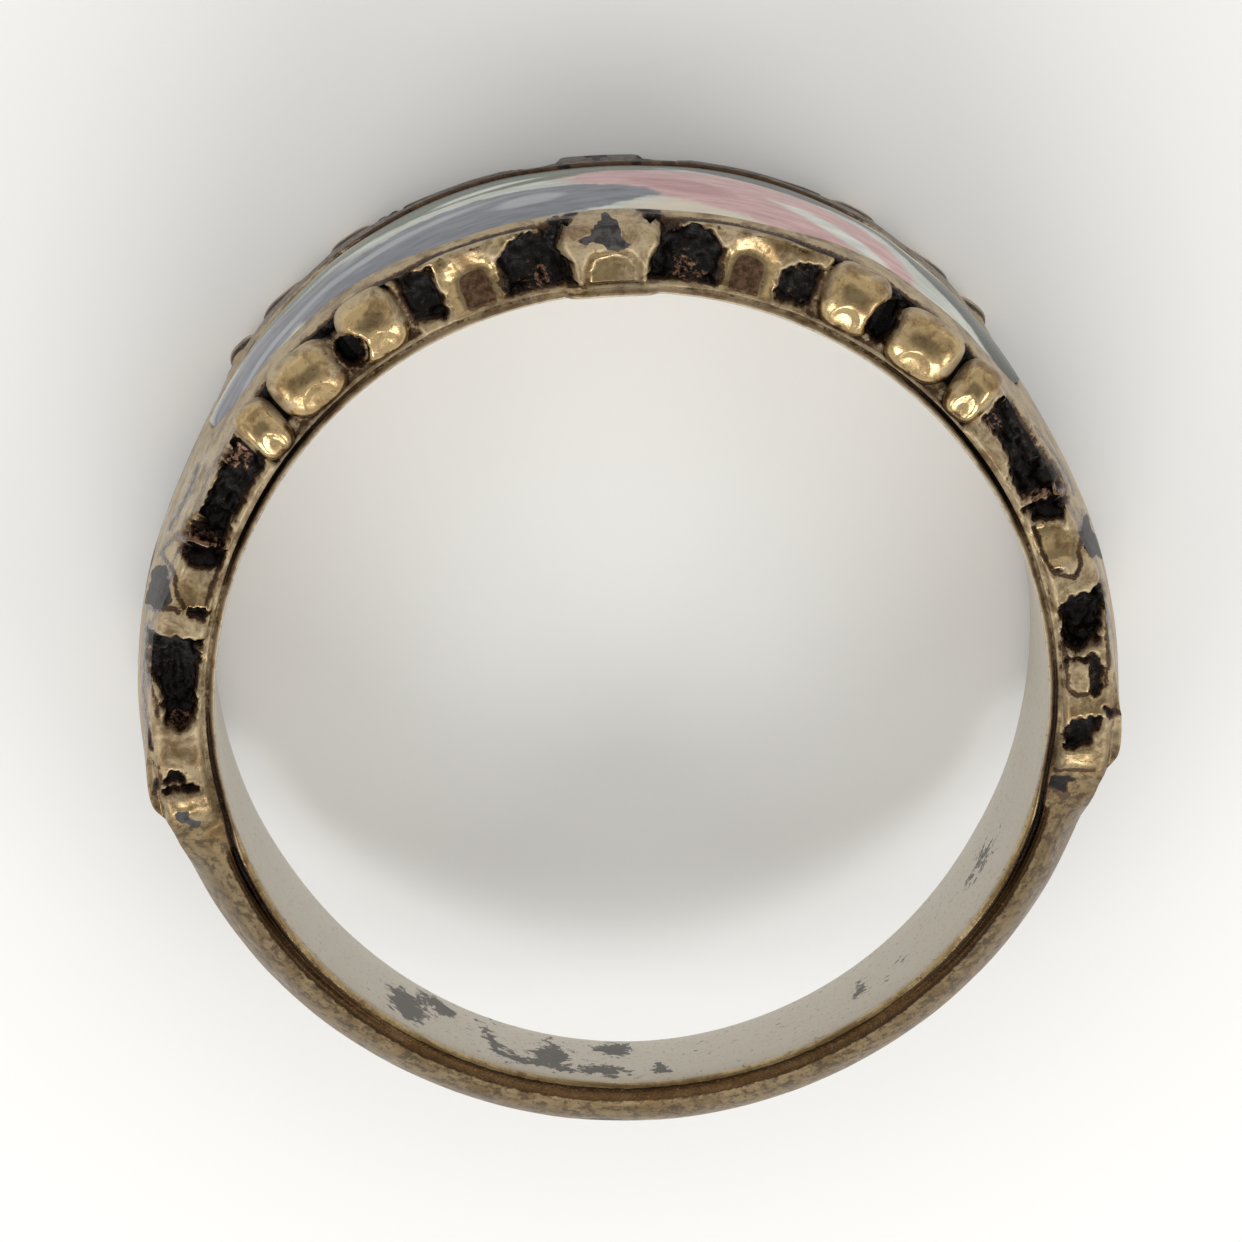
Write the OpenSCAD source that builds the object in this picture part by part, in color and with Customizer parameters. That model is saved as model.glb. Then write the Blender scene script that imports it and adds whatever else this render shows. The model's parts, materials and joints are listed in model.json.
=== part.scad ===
// Cast metal ring with a domed enamel panel, lying on its side.
// The finger goes through along Z, the crown faces -Y and the ring rests on z = 0.

/* [Finger] */
// Inner diameter of the ring
finger_d = 17.7; // [16.5:0.1:19]

/* [Crown] */
// Width of the crown along the finger, over its boss, beads and pads
crown_w = 7.2; // [7:0.1:7.6]
// Width of the plain sleeve inside the crown
sleeve_w = 6.5; // [6.3:0.1:6.6]
// Wall of the metal from the finger to the bezel round the enamel
bezel_t = 1.62; // [1.55:0.01:1.7]

/* [Enamel] */
// Angle from the middle of the crown to each end of the enamel
panel_half = 56.5; // [56:0.1:57]
// Depth of the enamel below the bezel's edge
enamel_t = 0.3; // [0.25:0.05:0.35]
// Height of the enamel's dome above the bezel's edge
dome_rise = 0.27; // [0.1:0.01:0.4]
// Gap between the enamel and the metal
enamel_gap = 0.03; // [0.02:0.01:0.05]

/* [Shank] */
// Width of the shank at the back
shank_w = 3.3; // [3:0.1:3.8]
// Thickness of the shank at the back
shank_t = 1.25; // [1.15:0.05:1.35]

/* [Fineness] */
// Length of a facet along the shank, in degrees
shank_step = 5; // [4:1:8]

/* [Hidden] */

bore_r = finger_d / 2;
mid_z = crown_w / 2;
// How far the cores of the lofts reach inside the finger hole, before it is cut
core = 0.3;
// The sleeve's rim, the groove beside it and the foot of the relief, measured out from the finger
rim_t = 0.09;
rim_edge_t = 0.13;
groove_t = 0.2;
foot_t = 0.29;
// Level of the plain relief face, against the sleeve's rim
face_drop = 0.05;
// Level of the boss and the beads over that face, and how far the sleeve's rim rises under the boss
full = crown_w / 2 - sleeve_w / 2 + face_drop;
boss_lift = 0.15;
// Angles between which the shoulder's section turns into the shank's
blend_from = 103;
blend_to = 113;

// Relief along each side, from the middle of the crown to the end of the shoulder, the same on both edges.
// Degrees from the crown's middle, lean of that boundary and level over the plain face. A hollow or swell goes
// across the face from a share near its foot to one at its start and one at its end. Last the facets.
FROM = 0;
LEAN = 1;
LEVEL = 2;
LOW = 3;
HIGH = 4;
HIGH_END = 5;
STEPS = 6;
RELIEF = [
    //from  lean  level  low  high  end  steps
    [  0.0,  0.0,  full, -0.2, 1.0, 1.0, 5 ], // boss, whose other half is on the other side
    [  6.2,  0.6, -0.50, -0.1, 1.2, 0.7, 6 ], // cove beside the boss
    [ 13.8,  0.4, -0.38, -0.3, 0.8, 0.8, 6 ], // bowl
    [ 21.2,  0.0, -0.38,  0.0, 0.9, 1.0, 5 ], // small cell
    [ 27.0, -1.0,  full, -0.2, 1.2, 1.2, 8 ], // first bead
    [ 35.2,  1.2, -0.60,  0.0, 0.9, 0.9, 2 ], // drilled gap
    [ 36.9,  0.0,  full, -0.2, 1.2, 1.2, 8 ], // second bead
    [ 46.4, -1.4, -0.42,  0.0, 1.0, 1.0, 1 ], // gap
    [ 47.2, -2.0,  0.36, -0.2, 1.2, 1.2, 6 ], // third bead
    [ 52.8, -0.6, -0.50,  0.1, 1.1, 1.1, 8 ], // black recess
    [ 65.6,  0.0,  0.18, -0.1, 1.1, 1.1, 1 ], // thin rib
    [ 66.6,  0.0, -0.38,  0.1, 1.1, 0.7, 4 ], // cup
    [ 71.5, -2.0,  0.22, -0.1, 1.1, 1.1, 3 ], // sloping pad
    [ 74.6, -1.0,  0.04, -0.1, 0.5, 0.5, 2 ], // slot
    [ 76.4, -1.0,  0.38, -0.1, 1.1, 1.1, 3 ], // ridge
    [ 79.2,  0.8, -0.42,  0.1, 1.1, 0.7, 8 ], // long recess
    [ 90.6, -0.8,  0.40, -0.1, 1.1, 1.1, 4 ], // pad
    [ 96.0,  0.8,  0.02,  0.0, 0.9, 0.9, 3 ], // notch
    [ 98.8,  0.4,  0.38, -0.1, 1.1, 1.1, 3 ], // knob
    [102.0,  0.0,  0.10, -0.1, 1.1, 1.1, 3 ], // end slope
    [105.0,  0.0,  0.00,  0.0, 1.0, 1.0, 1 ]  // end of the relief
];

// Ground that the hollows are sunk into, over the plain face: at its foot and at its outer edge
FOOT = 1;
OUTER = 2;
GROUND = [
    //angle  foot  outer
    [  0,    0.02, 0.04 ],
    [ 12,    0.00, 0.02 ],
    [ 52,    0.02, 0.02 ],
    [ 56,    0.14, 0.02 ],
    [ 65,    0.18, 0.06 ],
    [ 71,    0.26, 0.12 ],
    [ 76,    0.36, 0.30 ],
    [ 90,    0.38, 0.34 ],
    [101,    0.38, 0.36 ],
    [105,    0.00, 0.00 ]
];

// Wall from the finger to the outer edge of the relief
REACH = [
    //angle  wall
    [  0,    1.53 ],
    [  8,    1.56 ],
    [ 14,    1.59 ],
    [ 21,    1.60 ],
    [ 27,    1.62 ],
    [ 33,    1.60 ],
    [ 37,    1.53 ],
    [ 44,    1.50 ],
    [ 48,    1.44 ],
    [ 52,    1.42 ],
    [ 57,    1.27 ],
    [ 66,    1.22 ],
    [ 72,    1.25 ],
    [ 77,    1.38 ],
    [ 83,    1.38 ],
    [ 89,    1.42 ],
    [ 93.5,  1.50 ],
    [ 95.5,  1.58 ],
    [100,    1.60 ],
    [102.5,  1.36 ],
    [105,    1.30 ]
];

// The ring's run from crown to back: half width of the sleeve, wall to the outer face, depth of the groove.
HALF_W = 1;
WALL = 2;
GROOVE = 3;
RUN = [
    //angle  half width           wall            groove
    [  0,    sleeve_w / 2,        bezel_t,        0.00 ],
    [  6,    sleeve_w / 2,        bezel_t,        0.03 ],
    [ 12,    sleeve_w / 2,        bezel_t + 0.03, 0.08 ],
    [ 20,    sleeve_w / 2,        bezel_t + 0.05, 0.09 ],
    [ 27,    sleeve_w / 2,        bezel_t + 0.08, 0.10 ],
    [ 33,    sleeve_w / 2,        bezel_t + 0.08, 0.11 ],
    [ 38,    sleeve_w / 2,        bezel_t + 0.02, 0.13 ],
    [ 45,    sleeve_w / 2,        bezel_t - 0.03, 0.20 ],
    [ 50,    sleeve_w / 2,        bezel_t - 0.09, 0.27 ],
    [ 62,    sleeve_w / 2,        bezel_t - 0.18, 0.28 ],
    [ 72,    sleeve_w / 2 - 0.03, bezel_t - 0.13, 0.12 ],
    [ 82,    sleeve_w / 2 - 0.07, bezel_t - 0.06, 0.10 ],
    [ 94,    sleeve_w / 2 - 0.13, bezel_t - 0.02, 0.16 ],
    [104,    sleeve_w / 2 - 0.27, shank_t + 0.21, 0.18 ],
    [113,    shank_w / 2 + 1.19,  shank_t + 0.16, 0.16 ],
    [122,    shank_w / 2 + 1.10,  shank_t + 0.12, 0.10 ],
    [134,    shank_w / 2 + 0.73,  shank_t + 0.07, 0.04 ],
    [148,    shank_w / 2 + 0.37,  shank_t + 0.02, 0.00 ],
    [164,    shank_w / 2 + 0.12,  shank_t,        0.00 ],
    [180,    shank_w / 2,         shank_t,        0.00 ]
];

// Half width of the enamel, before its ends are rounded
PANEL = [
    //angle  half width
    [  0,    2.30 ],
    [  5,    2.34 ],
    [ 12,    2.42 ],
    [ 20,    2.38 ],
    [ 28,    2.02 ],
    [ 34,    1.90 ],
    [ 46,    1.82 ],
    [ 57,    1.75 ]
];

// Places of the points across the relief face, from its foot to its outer edge
FACE_U = [0, 0.1, 0.28, 0.46, 0.64, 0.8, 0.92, 1];
// Heights of the points over the shoulder's rounded outside, as shares of the half width
OUTER_V = [0.85, 0.6, 0.3, 0];

function clamp01(x) = min(1, max(0, x));
function smooth(x) = let(t = clamp01(x)) t * t * (3 - 2 * t);
function mix(a, b, t) = a + (b - a) * t;

// Row of a table in which an angle lies, counted from 0
function row_of(table, a, i = 0) =
    i >= len(table) - 2 || a < table[i + 1][0] ? i : row_of(table, a, i + 1);

// Slope of a table's column at one row, for a smooth run through its points
function slope(table, col, i) =
    i <= 0 || i >= len(table) - 1
        ? 0
        : (table[i + 1][col] - table[i - 1][col]) / (table[i + 1][0] - table[i - 1][0]);

// Value of a table's column at an angle, on a smooth run through its points
function along(table, col, a) =
    let(
        i = row_of(table, a),
        span = table[i + 1][0] - table[i][0],
        t = clamp01((a - table[i][0]) / span),
        t2 = t * t,
        t3 = t2 * t
    )
    (2 * t3 - 3 * t2 + 1) * table[i][col] + (t3 - 2 * t2 + t) * span * slope(table, col, i)
    + (3 * t2 - 2 * t3) * table[i + 1][col] + (t3 - t2) * span * slope(table, col, i + 1);

// Pillow that is 1 in the middle and falls to 0 at -1 and 1, the steeper the larger its power
function pillow(x, power) = sqrt(max(0, 1 - pow(min(1, abs(x)), power)));

// Boundary where a feature of the relief starts, at a place u across the face
function boundary(i, u) = RELIEF[i][FROM] + RELIEF[i][LEAN] * (u - 0.5);

// Feature that holds an angle at a place across the face
function feature_at(a, u, i = 0) =
    i >= len(RELIEF) - 2 || a < boundary(i + 1, u) ? i : feature_at(a, u, i + 1);

// Place within that feature, from -1 to 1; the boss goes on past the crown's middle
function within(a, u, i) =
    i == 0 ? a / boundary(1, u) : 2 * (a - boundary(i, u)) / (boundary(i + 1, u) - boundary(i, u)) - 1;

// Niche in the lower half of the boss
function niche(a, u) = 0.22 * pillow(a / 3.6, 3) * pillow((u - 0.12) / 0.3, 3);

// Ground at an angle and a place across the face
function ground(a, u) = mix(along(GROUND, FOOT, a), along(GROUND, OUTER, a), u);

// Share of a hollow or swell that a place across the face has, at a place t along it from -1 to 1
function across(u, i, t) =
    let(
        low = RELIEF[i][LOW],
        high = mix(RELIEF[i][HIGH], RELIEF[i][HIGH_END], (t + 1) / 2)
    )
    pillow((2 * u - low - high) / (high - low), 5);

// Height of the relief above its plain face, at an angle and a place across the face
function relief(a, u) =
    a >= RELIEF[len(RELIEF) - 1][FROM]
        ? 0
        : let(
            i = feature_at(a, u),
            t = within(a, u, i),
            share = pillow(t, 3) * across(u, i, t)
        )
            (mix(ground(a, u), RELIEF[i][LEVEL], share) - (i == 0 ? niche(a, u) : 0)) * pillow(2 * u - 1, 7);

// Half width of the enamel at an angle, with rounded ends
function panel_w(a) = along(PANEL, 1, a) * pillow(a / panel_half, 7);

// Half section of the crown and shoulders, as [radius, height over the middle], from the finger to the outside
function crown_half(a) =
    let(
        w = min(sleeve_w / 2, along(RUN, HALF_W, a)),
        wall = along(RUN, WALL, a),
        lift = boss_lift * pillow(a / 7, 3),
        rim = w + lift,
        face = w - face_drop,
        top = along(REACH, 1, a),
        out_r = bore_r + wall,
        edge = panel_w(a)
    )
    concat(
        [
            [bore_r - core, rim],
            [bore_r + rim_t, rim],
            [bore_r + rim_edge_t, rim - 0.04],
            [bore_r + groove_t, mix(face, rim, 0.5) - along(RUN, GROOVE, a)]
        ],
        [for (u = FACE_U) [bore_r + mix(foot_t, top, u), face + relief(a, u)]],
        a < panel_half
            ? [
                [out_r + 0.02, edge + 0.14],
                [out_r - 0.05, edge],
                [out_r - enamel_t, edge],
                [out_r - enamel_t, 0]
            ]
            : [
                for (v = OUTER_V) [mix(out_r, bore_r + top, pow(v, 2.2)), face * v]
            ]
    );

// Half section of the shank: a plain D with the same count of points
function shank_half(a) =
    let(
        w = along(RUN, HALF_W, a),
        wall = along(RUN, WALL, a),
        first = asin(foot_t / wall),
        count = len(FACE_U) + 4
    )
    concat(
        [
            [bore_r - core, w],
            [bore_r + rim_t, w - 0.01],
            [bore_r + rim_edge_t, w - 0.03],
            [bore_r + groove_t, w - 0.05 - along(RUN, GROOVE, a)]
        ],
        [
            for (j = [0 : count - 1])
                let(t = mix(first, 90, j / (count - 1)))
                [bore_r + wall * sin(t), w * pow(cos(t), 0.9)]
        ]
    );

// Half section at an angle from the crown's middle
function half_section(a) =
    let(k = smooth((a - blend_from) / (blend_to - blend_from)))
    k <= 0
        ? crown_half(a)
        : let(c = crown_half(a), s = shank_half(a))
            [for (j = [0 : len(c) - 1]) mix(c[j], s[j], k)];

// Whole section, with the other edge a mirror image
function section(a) =
    let(h = half_section(a), n = len(h))
    concat(h, [for (j = [n - 2 : -1 : 0]) [h[j][0], -h[j][1]]]);

// The gap as an angle, for the enamel's ends
gap_angle = 2 * asin(enamel_gap / (2 * bore_r));

// Half section of the enamel, [radius, height over the middle], from its edge at the floor to the dome's middle
function enamel_half(a) =
    let(
        out_r = bore_r + along(RUN, WALL, a),
        w = panel_w(a + gap_angle) - enamel_gap,
        rise = dome_rise * pillow(a / (panel_half + 12), 2)
    )
    concat(
        [[out_r - enamel_t + enamel_gap, w]],
        [for (t = [1, 0.8, 0.55, 0.28, 0]) [out_r - rim_drop + rise * (1 - t * t), w * t]]
    );
function enamel_section(a) =
    let(h = enamel_half(a), n = len(h))
    concat(h, [for (j = [n - 2 : -1 : 0]) [h[j][0], -h[j][1]]]);

// Stations round the ring, in degrees from the crown's middle
shoulder_end = RELIEF[len(RELIEF) - 1][FROM];
SIDE = [
    for (i = [0 : len(RELIEF) - 2])
        for (j = [0 : RELIEF[i][STEPS] - 1])
            mix(RELIEF[i][FROM], RELIEF[i + 1][FROM], j / RELIEF[i][STEPS])
];
shank_count = round((360 - 2 * shoulder_end) / shank_step);
BACK = [for (j = [0 : shank_count]) mix(shoulder_end, 360 - shoulder_end, j / shank_count)];
STATIONS = concat(SIDE, BACK, [for (j = [len(SIDE) - 1 : -1 : 1]) 360 - SIDE[j]]);
PANEL_SIDE = [for (a = SIDE) if (a < panel_half) a];
PANEL_STATIONS = concat([for (j = [len(PANEL_SIDE) - 1 : -1 : 1]) -PANEL_SIDE[j]], PANEL_SIDE);

// Angle from the crown's middle, whichever way round
function folded(a) = a > 180 ? 360 - a : abs(a);

// The ring is set so that the middle of its box, from the enamel's dome to the back, is over the origin
rim_drop = 0.06;
axis_y = (bezel_t - rim_drop + dome_rise - shank_t) / 2;

// Point of the ring from its angle, radius and height over the middle
function placed(a, p) = [p[0] * sin(a), axis_y - p[0] * cos(a), mid_z + p[1]];

// Two triangles for each patch between neighbouring sections of n points
function patch(i0, i1, j0, j1, n) = [
    [i0 * n + j0, i1 * n + j1, i0 * n + j1],
    [i0 * n + j0, i1 * n + j0, i1 * n + j1]
];

module band() {
    sections = [for (a = STATIONS) [for (p = section(folded(a))) placed(a, p)]];
    m = len(sections);
    n = len(sections[0]);
    color([0.60, 0.50, 0.32])
        difference() {
            polyhedron(
                points = [for (s = sections) each s],
                faces = [
                    for (i = [0 : m - 1])
                        for (j = [0 : n - 1])
                            each patch(i, (i + 1) % m, j, (j + 1) % n, n)
                ]
            );
            translate([0, axis_y, -1])
                cylinder(r = bore_r, h = crown_w + 2, $fn = 180);
        }
}

module enamel() {
    sections = [for (a = PANEL_STATIONS) [for (p = enamel_section(folded(a))) placed(a, p)]];
    m = len(sections);
    n = len(sections[0]);
    color([0.62, 0.60, 0.64])
        polyhedron(
            points = [for (s = sections) each s],
            faces = concat(
                [
                    for (i = [0 : m - 2])
                        for (j = [0 : n - 1])
                            each patch(i, i + 1, j, (j + 1) % n, n)
                ],
                [[for (j = [0 : n - 1]) j]],
                [[for (j = [0 : n - 1]) m * n - 1 - j]]
            )
        );
}

band();
enamel();
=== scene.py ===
"""Dresses the enamel ring: a gilt cast band with beads on its crown, and a painted enamel panel.

The ring lies on its side with the finger along Z and the crown facing -Y. Sizes are in millimetres
until a point is placed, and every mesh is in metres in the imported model's own frame.
"""

import json
import logging
import math
from dataclasses import dataclass
from enum import Enum, IntEnum
from typing import Sequence

import bpy
import numpy as np
from mathutils import Matrix, Vector, noise


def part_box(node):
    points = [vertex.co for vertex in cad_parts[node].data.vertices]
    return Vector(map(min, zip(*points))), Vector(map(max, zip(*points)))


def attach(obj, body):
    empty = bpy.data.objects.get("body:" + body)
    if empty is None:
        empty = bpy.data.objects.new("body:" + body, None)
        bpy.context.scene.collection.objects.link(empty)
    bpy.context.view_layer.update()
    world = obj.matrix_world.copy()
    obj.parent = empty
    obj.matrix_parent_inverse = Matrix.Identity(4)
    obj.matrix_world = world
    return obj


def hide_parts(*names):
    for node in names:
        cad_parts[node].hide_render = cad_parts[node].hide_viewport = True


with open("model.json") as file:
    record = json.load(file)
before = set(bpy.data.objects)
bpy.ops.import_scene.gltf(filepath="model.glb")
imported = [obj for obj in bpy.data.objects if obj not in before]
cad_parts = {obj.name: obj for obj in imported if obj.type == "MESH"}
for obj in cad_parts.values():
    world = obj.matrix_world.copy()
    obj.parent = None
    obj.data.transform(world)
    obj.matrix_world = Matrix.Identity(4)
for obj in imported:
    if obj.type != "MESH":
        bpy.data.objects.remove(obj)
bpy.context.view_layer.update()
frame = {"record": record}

MM = 0.001
ROOT = "root"
log = logging.getLogger("ring")

Array = np.ndarray
Colour = tuple[float, float, float]
Place = tuple[float, float, float]


class Side(Enum):
    """Which side of the crown's middle a detail is on, as the ring is seen with its crown up."""

    LEFT = 1
    RIGHT = -1
    BOTH = 0


class Stain(Enum):
    """Kinds of wear and dirt on the metal, each in an attribute of that name; some also hold painted light.
    """

    WORN = "worn"
    PATINA = "patina"
    COPPER = "copper"
    BROWN = "brown"
    GOLD = "gold"


Outline = tuple[tuple[float, float], ...]
Feeds = dict[int | str, object]


@dataclass(frozen=True)
class Form:
    """A hollow or swell of the relief face, inside an outline of angles and radii.

    Its floor runs from the first level at its smallest angle to the second at its largest one, in
    millimetres over the plain face, and its wall is as wide as given.
    """

    side: Side
    outline: Outline
    levels: tuple[float, float]
    wall: float
    patina: float
    lumps: float = 0.0
    copper: float = 0.0
    brown: float = 0.0


@dataclass(frozen=True)
class Seam:
    """A thin dark line between two forms of the relief, through places given by angle and radius."""

    side: Side
    points: Outline
    half_width: float = 0.070
    depth: float = 0.020
    strength: float = 0.62


@dataclass(frozen=True)
class Mark:
    """A stain inside an outline of angles and radii on the relief face, with an edge as soft as given."""

    stain: Stain
    side: Side
    outline: Outline
    strength: float = 1.0
    soft: float = 0.10


class Column(IntEnum):
    """What the columns of the band's run hold, after the angle from the crown's middle."""

    HALF_WIDTH = 1
    WALL = 2
    GROOVE = 3
    GROOVE_PATINA = 4


@dataclass(frozen=True)
class Spot:
    """A worn or tarnished spot, by its angle, its height over the middle and its reach both ways."""

    angle: float
    height: float
    half_angle: float
    half_height: float
    strength: float = 1.0


@dataclass(frozen=True)
class Bead:
    """A bead of the crown: the angles of its ends, how they lean, how far it reaches and leans back."""

    start: float
    end: float
    start_lean: float
    end_lean: float
    reach: float
    lean_back: float


@dataclass(frozen=True)
class Hole:
    """A drilled hole between two beads, by its middle and its half sizes in millimetres."""

    angle: float
    radius: float
    half_along: float
    half_across: float


@dataclass(frozen=True)
class Ripple:
    """One layer of soft noise: how high it is, how many details it has in a millimetre, and its seed."""

    height: float
    per_mm: float
    seed: float


# Unevenness of the relief's ground, of the outlines of its forms, and of the floors of its hollows
GROUND_RIPPLES = (Ripple(0.034, 1.6, 21.0), Ripple(0.020, 4.5, 25.0))
OUTLINE_RIPPLES = (Ripple(0.08, 2.4, 1.0), Ripple(0.09, 7.0, 5.0))
FLOOR_RIPPLES = (Ripple(1.0, 3.1, 9.0), Ripple(0.7, 7.0, 13.0))

# Dips of the crown's outer edge between its forms: middle and half width, in degrees
SCALLOPS = ((36.0, 2.4), (46.6, 1.8), (24.5, 2.5))

BEADS = (
    Bead(27.0, 35.2, -1.0, 0.6, 1.62, 8.0),
    Bead(36.9, 46.4, 0.0, -1.4, 1.52, 10.0),
    Bead(47.2, 52.8, -2.0, -0.6, 1.50, 16.0),
)

# Wall from the finger to the outer edge of the relief face, against the angle
REACH_RUN = ((0, 1.53), (8, 1.56), (14, 1.59), (21, 1.60), (27, 1.62), (33, 1.60), (37, 1.53), (44, 1.50),
             (48, 1.44), (52, 1.42), (57, 1.27), (66, 1.22), (72, 1.25), (77, 1.38), (83, 1.38), (89, 1.42),
             (93.5, 1.50), (95.5, 1.58), (100, 1.60), (102.5, 1.36), (105, 1.30))

# Height of the relief's ground over the plain face, at its foot and at its outer edge, against the angle
GROUND_RUN = ((0, 0.02, 0.04), (6, 0.02, 0.04), (12, 0.00, 0.02), (27, 0.00, 0.00), (52, 0.02, 0.02),
              (56, 0.14, 0.02), (65, 0.18, 0.06), (71, 0.26, 0.12), (76, 0.36, 0.30), (90, 0.38, 0.34),
              (101, 0.38, 0.36), (105, 0.00, 0.00))

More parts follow.
